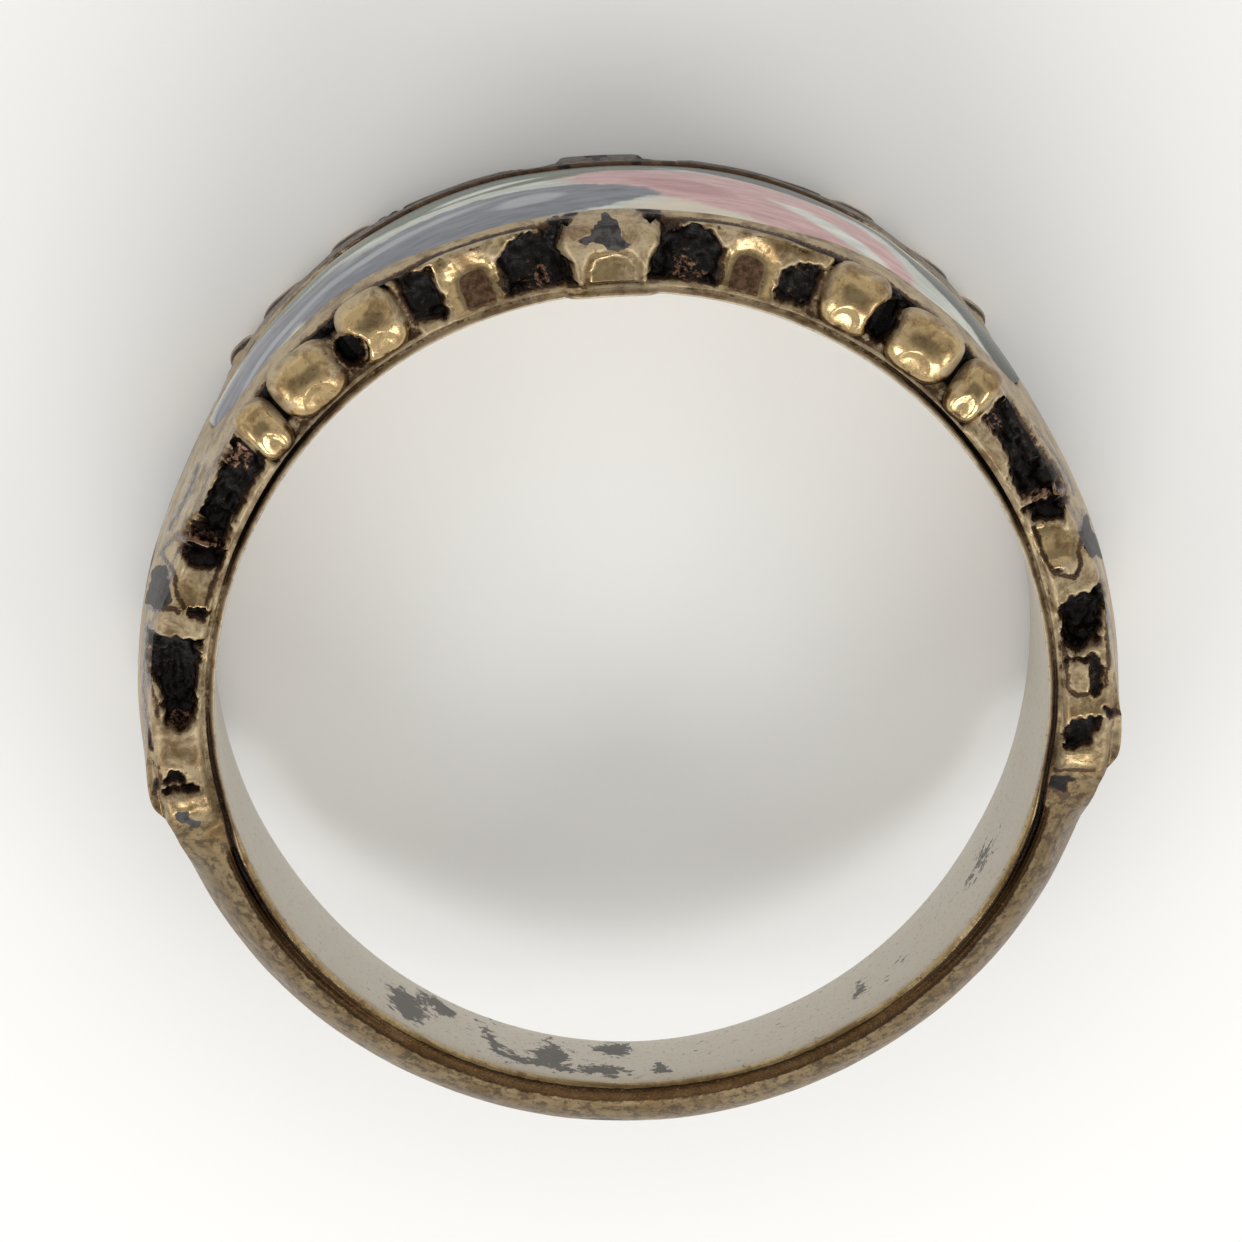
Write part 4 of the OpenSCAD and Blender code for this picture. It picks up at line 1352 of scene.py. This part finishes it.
    def build(self) -> bpy.types.Object:
        """Builds the band's mesh with its attributes.

        Returns:
            The band.
        """
        stations = self.stations()
        signed = ((stations + 180) % 360) - 180
        folded = np.abs(signed)
        crown = self.crown_half(signed)
        count = crown["radius"].shape[1]
        plain_r, plain_h = self.shank_half(folded, count)
        share = ramp(folded, self.blend_from, self.blend_to)[:, None]
        crown["radius"] = crown["radius"] + (plain_r - crown["radius"]) * share
        crown["height"] = crown["height"] + (plain_h - crown["height"]) * share
        past_groove = (np.arange(count) >= self.lead)[None, :]
        for stain in Stain:
            kept = ramp(folded, 108, 105)[:, None] if stain is not Stain.COPPER else 1 - share
            crown[stain.value] = np.where(past_groove, crown[stain.value] * kept, crown[stain.value])
        whole = {name: np.concatenate([rows, rows[:, -2:0:-1]], axis=1) for name, rows in crown.items()}
        whole["height"][:, count:] *= -1
        points = self.gauge.place(stations[:, None], whole["radius"], whole["height"])
        cavity = self.cavities(points)
        points = self.roughen(points, whole["radius"])
        band = mesh_object("band_metal", points.reshape(-1, 3), loop_quads(*points.shape[:2], True))
        for name, values in {**self.stains(whole, signed), "cavity": cavity}.items():
            store(band.data, name, values)
        return band

    def stains(self, whole: dict[str, Array], signed: Array) -> dict[str, Array]:
        """Works out what the finish reads at each point.

        Args:
            whole: Radius, height over the middle and the relief's stains, a row for each section.
            signed: Signed degrees from the crown's middle, one for each section.

        Returns:
            The attributes by name.
        """
        folded, height = np.abs(signed), whole["height"]
        radius, out = whole["radius"], whole["radius"] - self.gauge.bore_r
        bore_wall = ramp(out, 0.045, 0.010)
        rim = ramp(out, self.groove_t, self.groove_t - 0.06) * ramp(folded, 115, 105)[:, None]
        # A painted highlight: a bright polished line along the shank's rim, laid through the gold attribute
        painted_highlight_line = hill(out, 0.085, 0.085) * ramp(folded, 104, 110)[:, None]
        far = ramp(height, -1.75, -2.05) * ramp(out, 1.2, 1.4) * ramp(folded, 58, 40)[:, None]
        # The patina attribute also takes the black start of the painted dark reflection band on the shank
        dark = np.maximum(self.far_patina * far, self.dark_reflection_strength * self.painted_dark_reflection_start(folded, out))
        shank = ramp(folded, 93, 103)[:, None] + 0 * radius
        worn = self.spots(WORN_SPOTS, signed, height) * (1 - bore_wall)
        return {
            # The gold attribute also takes the painted highlight line along the shank's rim
            "gold": np.maximum(whole["gold"], painted_highlight_line),
            "patina": np.maximum(whole["patina"], dark),
            "copper": whole["copper"],
            # The brown attribute also holds the painted dark reflection band of the shank
            "brown": np.maximum(whole["brown"], self.painted_dark_reflection_band(folded, out)),
            "inside": bore_wall,
            "rim": rim * (1 - bore_wall),
            "worn": np.maximum(whole["worn"], worn),
            "tarnish": self.spots(TARNISH_SPOTS, signed, height) * bore_wall,
            "shank": shank,
            "beige": self.beige - 0.04 * shank,
            "radius": radius,
        }

    def painted_dark_reflection_band(self, folded: Array, out: Array) -> Array:
        """Lays the painted dark reflection: a wide dark brown band beside the rim of the shank.

        Args:
            folded: Degrees from the crown's middle, one for each section.
            out: Millimetres from the finger hole's wall, a row for each section.

        Returns:
            The band's strength at each point.
        """
        return ramp(out, 0.14, 0.19) * ramp(out, 0.60, 0.36) * ramp(folded, 106, 111)[:, None]

    def painted_dark_reflection_start(self, folded: Array, out: Array) -> Array:
        """Lays the black streak where the painted dark reflection band starts, below the shoulder.

        Args:
            folded: Degrees from the crown's middle, one for each section.
            out: Millimetres from the finger hole's wall, a row for each section.

        Returns:
            The streak's strength at each point.
        """
        streak = ramp(out, 0.15, 0.20) * ramp(out, 0.38, 0.26)
        return streak * (ramp(folded, 104, 107) * ramp(folded, 132, 114))[:, None]

    def roughen(self, points: Array, radius: Array) -> Array:
        """Gives the casting its slight hand-worked unevenness, but leaves the finger hole round.

        Args:
            points: Points of the band in metres, a row for each section.
            radius: Their millimetres from the finger axis.

        Returns:
            The moved points.
        """
        flat = points.reshape(-1, 3)
        wobble = np.array([noise.noise(Vector(p) * (0.9 / MM)) for p in flat]).reshape(radius.shape)
        keep = ramp(radius - self.gauge.bore_r, 0.03, 0.23) * self.lump * wobble
        centre = np.array([0.0, self.gauge.axis_y * MM, self.gauge.mid_z * MM])
        outward = points - centre
        outward = outward / np.linalg.norm(outward, axis=-1, keepdims=True)
        return points + outward * (keep * MM)[..., None]

    def spots(self, rows: Sequence[Spot], angle: Array, height: Array) -> Array:
        """Lays soft spots on the surface.

        Args:
            rows: The spots.
            angle: Signed degrees from the crown's middle, one for each section.
            height: Millimetres over the ring's middle, a row for each section.

        Returns:
            The strength of the spots at each point.
        """
        result = np.zeros(height.shape)
        for spot in rows:
            turned = (((angle - spot.angle + 180) % 360) - 180)[:, None]
            reach = hill(turned, half=spot.half_angle) * hill(height, spot.height, spot.half_height)
            result = np.maximum(result, spot.strength * reach)
        return result

    def dress(self, band: bpy.types.Object) -> None:
        """Gives the band its finish and ties it to the frame.

        Args:
            band: The band.
        """
        band.data.materials.append(self.finish.material())
        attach(band, ROOT)
        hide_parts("band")


@dataclass
class CrownBeads:
    """The three convex beads on each side of the crown, along both of its edges."""

    gauge: RingGauge
    segments: int = 48
    rings: int = 30
    plan: float = 3.2
    profile: float = 2.5
    taper: float = 0.05
    bore_drop: float = 0.34
    scoop: float = 0.10
    half_height: float = 0.65
    inner_t: float = 0.22
    outer_extra: float = 0.08
    overlap: float = 1.03
    hole_depth: float = 2.75
    holes: tuple[Hole, ...] = (Hole(35.2, 9.66, 0.36, 0.36), Hole(-35.7, 9.74, 0.30, 0.50))

    def centres(self) -> tuple[Array, Array, Array]:
        """Places the beads.

        Returns:
            Points in metres, turns as XYZ angles in radians and half sizes in metres.
        """
        points, turns, sizes = [], [], []
        for bead in BEADS:
            middle, half_angle = (bead.start + bead.end) / 2, (bead.end - bead.start) / 2
            outer = bead.reach + self.outer_extra
            radius = self.gauge.bore_r + (self.inner_t + outer) / 2
            tangential = radius * math.radians(half_angle) * self.overlap
            radial = (outer - self.inner_t) / 2
            lean = (bead.start_lean + bead.end_lean) / 2
            turn = math.radians(middle) + math.atan2(radius * math.radians(lean), 2 * radial)
            lean_back = math.radians(bead.lean_back)
            for side in (1, -1):
                for edge in (1, -1):
                    height = edge * (self.gauge.half_width - self.half_height)
                    points.append(self.gauge.place(*(np.array(v) for v in (side * middle, radius, height))))
                    turns.append((edge * lean_back, 0.0, side * turn))
                    sizes.append((tangential * MM, radial * MM, self.half_height * MM))
        return np.array(points), np.array(turns), np.array(sizes)

    def settings(self, metal: bpy.types.Material) -> dict[str, tuple[str, object]]:
        """Lists the inputs of the node group.

        Args:
            metal: The finish of the beads.

        Returns:
            The kind of socket and the value of each input, by name.
        """
        return {
            "Segments": ("NodeSocketInt", self.segments),
            "Rings": ("NodeSocketInt", self.rings),
            "Plan": ("NodeSocketFloat", self.plan),
            "Profile": ("NodeSocketFloat", self.profile),
            "Taper": ("NodeSocketFloat", self.taper),
            "Bore drop": ("NodeSocketFloat", self.bore_drop),
            "Scoop": ("NodeSocketFloat", self.scoop),
            "Metal": ("NodeSocketMaterial", metal),
        }

    def cushion(self, sheet: NodeSheet, given: dict[str, Value]) -> Value:
        """Shapes one bead: a ball pressed towards a box, lower at the finger and scooped outside.

        Args:
            sheet: The nodes of the group.
            given: The group's inputs by name.

        Returns:
            The bead's mesh, 1 in half size.
        """
        ball = sheet.value("GeometryNodeMeshUVSphere",
                           {"Segments": given["Segments"], "Rings": given["Rings"], "Radius": 1.0}, "Mesh")
        place = sheet.value("GeometryNodeInputPosition")
        x, y, z = sheet.split(sheet.vector_math("ABSOLUTE", place))
        plan, profile = given["Plan"], given["Profile"]
        length = ((x ** plan + y ** plan) ** (profile / plan) + z ** profile) ** (1.0 / profile)
        x, y, z = sheet.split(sheet.scaled(place, 1.0 / length))
        lower = y.step(-0.2, 1.0) * given["Bore drop"]
        side, end = x / 0.50, (y - 0.70) / 0.50
        hollow = (1.0 - (side * side + end * end)).clamped().step(0.0, 0.8) * given["Scoop"]
        narrowed = x * (y * (given["Taper"] * -1.0) + 1.0)
        shape = sheet.joined(narrowed, y, z * (1.0 - lower - hollow))
        shaped = sheet.value("GeometryNodeSetPosition", {"Geometry": ball, "Position": shape})
        place = sheet.value("GeometryNodeInputPosition")
        kept = sheet.value("GeometryNodeStoreNamedAttribute",
                           {"Name": "bead_place", "Geometry": shaped, "Value": place},
                           data_type="FLOAT_VECTOR", domain="POINT")
        return sheet.value("GeometryNodeSetShadeSmooth", {"Geometry": kept})

    def tree(self, kinds: dict[str, str]) -> tuple[bpy.types.NodeTree, dict[str, str]]:
        """Builds the node tree that sets one cushion on every point.

        Args:
            kinds: The kind of socket of each input after the points, by name.

        Returns:
            The tree, and the identifier of each of its inputs by name.
        """
        tree = bpy.data.node_groups.new("crown_beads", "GeometryNodeTree")
        sockets = {"Points": "NodeSocketGeometry", **kinds}
        inputs = {name: tree.interface.new_socket(name=name, in_out="INPUT", socket_type=kind).identifier
                  for name, kind in sockets.items()}
        tree.interface.new_socket(name="Beads", in_out="OUTPUT", socket_type="NodeSocketGeometry")
        sheet = NodeSheet(tree)
        group = sheet.node("NodeGroupInput")
        given = {name: Value(sheet, group.outputs[name]) for name in inputs}
        turn, size = (sheet.value("GeometryNodeInputNamedAttribute", {"Name": name}, "Attribute",
                                  data_type="FLOAT_VECTOR") for name in ("turn", "half_size"))
        bead = self.cushion(sheet, given)
        spread = sheet.value("GeometryNodeInstanceOnPoints",
                             {"Points": given["Points"], "Instance": bead, "Rotation": turn, "Scale": size})
        real = sheet.value("GeometryNodeRealizeInstances", {0: spread})
        finished = sheet.value("GeometryNodeSetMaterial", {"Geometry": real, "Material": given["Metal"]})
        sheet.node("NodeGroupOutput", {0: finished})
        return tree, inputs

    def build(self, metal: bpy.types.Material) -> bpy.types.Object:
        """Makes the beads as one plain mesh.

        Args:
            metal: The finish of the band.

        Returns:
            The beads.
        """
        points, turns, sizes = self.centres()
        seeds = bpy.data.meshes.new("bead_seeds")
        seeds.from_pydata(points.tolist(), [], [])
        store(seeds, "turn", turns, vectors=True)
        store(seeds, "half_size", sizes, vectors=True)
        holder = add_object("bead_seeds", seeds)
        settings = self.settings(metal)
        tree, inputs = self.tree({name: kind for name, (kind, _) in settings.items()})
        modifier = holder.modifiers.new("beads", "NODES")
        modifier.node_group = tree
        for name, (_, setting) in settings.items():
            modifier[inputs[name]] = setting
        evaluated = holder.evaluated_get(bpy.context.evaluated_depsgraph_get())
        mesh = bpy.data.meshes.new_from_object(evaluated)
        holder.modifiers.clear()
        bpy.data.objects.remove(holder)
        beads = add_object("crown_beads", mesh)
        self.mark(beads)
        return beads

    def mark(self, beads: bpy.types.Object) -> None:
        """Stores the stains the band's finish reads: patina at the foot, beige edge of wear and painted
        sheen.

        Args:
            beads: The beads, with each point's place on its own cushion as an attribute.
        """
        count = len(beads.data.vertices)
        place = np.zeros(count * 3, np.float32)
        beads.data.attributes["bead_place"].data.foreach_get("vector", place)
        place = place.reshape(-1, 3)
        lift = np.abs(place[:, 2])
        scoop = hill(np.hypot(place[:, 0] / 0.34, (place[:, 1] - 0.90) / 0.12))
        foot = np.maximum(0.9 * ramp(lift, 0.20, 0.06), 0.42 * scoop)
        store(beads.data, "patina", np.maximum(foot, self.drill(beads)))
        # Matte beige round the steep edge: partly worn finish, partly a painted pale sheen
        edge = ramp(lift, 0.84, 0.64) * (1 - 0.9 * ramp(place[:, 1], 0.1, 0.6))
        store(beads.data, "beige", edge - 0.05)
        for name in ("cavity", "inside", "rim", "worn", "tarnish", "copper", "brown", "gold", "shank"):
            store(beads.data, name, np.zeros(count))
        store(beads.data, "radius", np.full(count, self.gauge.bore_r + 1.0))

    def drill(self, beads: bpy.types.Object) -> Array:
        """Sinks the drilled hole between the first two beads into both of them.

        Args:
            beads: The beads, whose points are moved.

        Returns:
            1 in the hole and 0 beside it, for each point.
        """
        count = len(beads.data.vertices)
        points = np.zeros(count * 3, np.float32)
        beads.data.vertices.foreach_get("co", points)
        points = points.reshape(-1, 3)
        x, y = points[:, 0] / MM, points[:, 1] / MM - self.gauge.axis_y
        angle, radius = np.degrees(np.arctan2(x, -y)), np.hypot(x, y)
        holed = np.zeros(count)
        for hole in self.holes:
            along = np.radians(angle - hole.angle) * hole.radius / hole.half_along
            away = np.hypot(along, (radius - hole.radius) / hole.half_across)
            holed = np.maximum(holed, ramp(away, 1.15, 0.85))
        height = points[:, 2] / MM - self.gauge.mid_z
        sunk = np.sign(height) * np.minimum(np.abs(height), self.hole_depth)
        points[:, 2] += (sunk - height) * holed * MM
        beads.data.vertices.foreach_set("co", points.ravel())
        beads.data.update()
        return holed

    def dress(self, beads: bpy.types.Object) -> None:
        """Ties the beads to the frame as part of the band.

        Args:
            beads: The beads.
        """
        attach(beads, ROOT)
        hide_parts("band")


@dataclass
class EnamelPanel:
    """The domed enamel panel that fills the recess of the crown."""

    gauge: RingGauge
    band: GiltBand
    finish: EnamelFinish
    gap: float = 0.02
    dome_rise: float = 0.27
    rim_drop: float = 0.05
    step: float = 0.3
    across_count: int = 49
    unrolled_r: float = 10.42

    def build(self) -> bpy.types.Object:
        """Builds the panel as a closed, domed mesh.

        Returns:
            The panel, with its unrolled place as an attribute.
        """
        end = self.band.panel_half
        angle = np.arange(-end, end, self.step)
        width = self.band.panel_width(np.abs(angle))
        keep = width > self.band.panel_end_w + self.gap
        angle, width = angle[keep][:, None], width[keep][:, None] - self.gap
        t = np.sin(np.linspace(np.pi / 2, -np.pi / 2, self.across_count))[None, :]
        wall = smooth_run(BAND_RUN, Column.WALL, np.abs(angle))
        top_r = self.gauge.bore_r + wall - self.rim_drop
        rise = self.dome_rise * pillow(angle / (end + 12), 2)
        radius = top_r + rise * (1 - t * t)
        height = width * t
        floor_r = self.gauge.bore_r + wall - self.band.enamel_t + self.gap
        low = np.array([-1.0, 1.0])[None, :] * width
        radius = np.concatenate([radius, floor_r + 0 * low], axis=1)
        height = np.concatenate([height, low], axis=1)
        points = self.gauge.place(angle, radius, height)
        rings, around = radius.shape
        caps = (list(range(around - 1, -1, -1)), list(range((rings - 1) * around, rings * around)))
        panel = mesh_object("enamel_panel", points.reshape(-1, 3), loop_quads(rings, around, False), caps)
        unrolled = np.stack([np.radians(angle) * self.unrolled_r + 0 * height, height, 0 * height], axis=-1)
        store(panel.data, "panel", unrolled, vectors=True)
        return panel

    def dress(self, panel: bpy.types.Object) -> None:
        """Gives the panel its finish and ties it to the frame.

        Args:
            panel: The panel.
        """
        panel.data.materials.append(self.finish.material())
        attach(panel, ROOT)
        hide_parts("enamel")


@dataclass(frozen=True)
class SoftLight:
    """One soft light: its azimuth and elevation, how far, wide and deep it is and how strong."""

    name: str
    azimuth: float
    elevation: float
    distance: float
    width: float
    depth: float
    power: float


@dataclass
class Studio:
    """The pale floor, the soft light and the camera."""

    gauge: RingGauge
    floor_half: float = 0.6
    floor_colour: Colour = (0.90, 0.90, 0.89)
    sky_colour: Colour = (1.0, 0.99, 0.97)
    tilt: float = 14.0
    yaw: float = 2.0
    boss_turn: float = 2.7
    distance: float = 0.300
    picture_width: float = 1242.0
    scale_px: float = 46.63
    aim_right_px: float = 6.0
    aim_down_px: float = 42.1
    sensor: float = 36.0
    horizon: float = 1.25
    between: float = 0.90
    zenith: float = 0.42
    lights: tuple[SoftLight, ...] = (
        SoftLight("left", 231.0, 34.0, 0.40, 0.24, 0.08, 0.28),
        SoftLight("middle", 178.0, 34.0, 0.40, 0.25, 0.12, 0.46),
        SoftLight("right", 125.0, 34.0, 0.40, 0.24, 0.08, 0.28),
    )

    def floor(self) -> bpy.types.Object:
        """Lays the floor under the ring.

        Returns:
            The floor.
        """
        h = self.floor_half
        points = np.array([(-h, -h, 0.0), (h, -h, 0.0), (h, h, 0.0), (-h, h, 0.0)])
        floor = mesh_object("floor", points, np.array([[0, 1, 2, 3]]))
        material, sheet, shader = new_material("pale_floor")
        paper = sheet.cloud(sheet.object_mm(), 0.05, 2.0)
        tone = sheet.blend(paper, self.floor_colour, tuple(c * 0.985 for c in self.floor_colour))
        sheet.feed(shader, {"Base Color": tone, "Roughness": 0.8})
        floor.data.materials.append(material)
        return floor

    def world(self) -> None:
        """Sets the soft surround: brightest round the horizon, less bright above it and dim overhead."""
        world = bpy.data.worlds.new("soft_studio")
        bpy.context.scene.world = world
        world.use_nodes = True
        sheet = NodeSheet(world.node_tree)
        height = sheet.split(sheet.value("ShaderNodeTexCoord", output="Generated"))[2]
        light = sheet.between(height.step(0.10, 0.40), self.horizon, self.between)
        light = sheet.between(height.step(0.80, 0.95), light, self.zenith)
        back = sheet.value("ShaderNodeBackground", {"Color": self.sky_colour, "Strength": light})
        sheet.node("ShaderNodeOutputWorld", {"Surface": back})

    def soft_light(self, spec: SoftLight) -> bpy.types.Object:
        """Sets up one soft light that points at the ring.

        Args:
            spec: The light.

        Returns:
            The light's object.
        """
        data = bpy.data.lights.new(spec.name, "AREA")
        data.shape = "ELLIPSE"
        data.size = spec.width
        data.size_y = spec.depth
        data.energy = spec.power
        lamp = add_object(spec.name, data)
        a, e = math.radians(spec.azimuth), math.radians(spec.elevation)
        way = Vector((math.sin(a) * math.cos(e), -math.cos(a) * math.cos(e), math.sin(e)))
        lamp.location = way * spec.distance
        lamp.rotation_euler = (-way).to_track_quat("-Z", "Y").to_euler()
        return lamp

    def camera(self) -> bpy.types.Object:
        """Sets the camera as the photograph has it: over the crown's side, along the finger.

        Returns:
            The camera.
        """
        turn = math.radians(self.boss_turn)
        tilt, yaw = math.radians(self.tilt), math.radians(self.yaw)
        crown_up = Vector((-math.sin(turn), -math.cos(turn), 0.0))
        finger = Vector((0.0, 0.0, 1.0))
        side = (-finger).cross(crown_up)
        right = side * math.cos(yaw) + finger * math.sin(yaw)
        inward = -side * math.sin(yaw) + finger * math.cos(yaw)
        towards = crown_up * math.sin(tilt) + inward * math.cos(tilt)
        up = towards.cross(right)
        centre = Vector((0.0, self.gauge.axis_y, self.gauge.mid_z)) * MM
        px = MM / self.scale_px
        aim = centre - right * (self.aim_right_px * px) + up * (self.aim_down_px * px)
        data = bpy.data.cameras.new("camera")
        data.sensor_width = self.sensor
        data.lens = self.sensor * self.scale_px / MM * self.distance / self.picture_width
        data.clip_start, data.clip_end = 0.01, 10.0
        camera = add_object("camera", data)
        axes = Matrix((right, up, towards)).transposed()
        camera.matrix_world = Matrix.Translation(aim + towards * self.distance) @ axes.to_4x4()
        bpy.context.scene.camera = camera
        return camera

    def build(self) -> None:
        """Sets up the whole studio."""
        bpy.context.scene.view_settings.view_transform = "Standard"
        self.floor()
        self.world()
        for spec in self.lights:
            self.soft_light(spec)
        self.camera()


def main() -> None:
    """Builds the studio and each sub-assembly, and dresses them."""
    logging.basicConfig(level=logging.INFO, format="%(name)s: %(message)s")
    gauge = RingGauge.from_frame()
    Studio(gauge).build()
    log.info("studio ready")
    band = GiltBand(gauge, GiltFinish())
    metal = band.build()
    band.dress(metal)
    log.info("%s: %d faces", metal.name, len(metal.data.polygons))
    beads = CrownBeads(gauge)
    cushions = beads.build(metal.data.materials[0])
    beads.dress(cushions)
    log.info("%s: %d faces", cushions.name, len(cushions.data.polygons))
    enamel = EnamelPanel(gauge, band, EnamelFinish())
    panel = enamel.build()
    enamel.dress(panel)
    log.info("%s: %d faces", panel.name, len(panel.data.polygons))


if __name__ == "__main__":
    main()
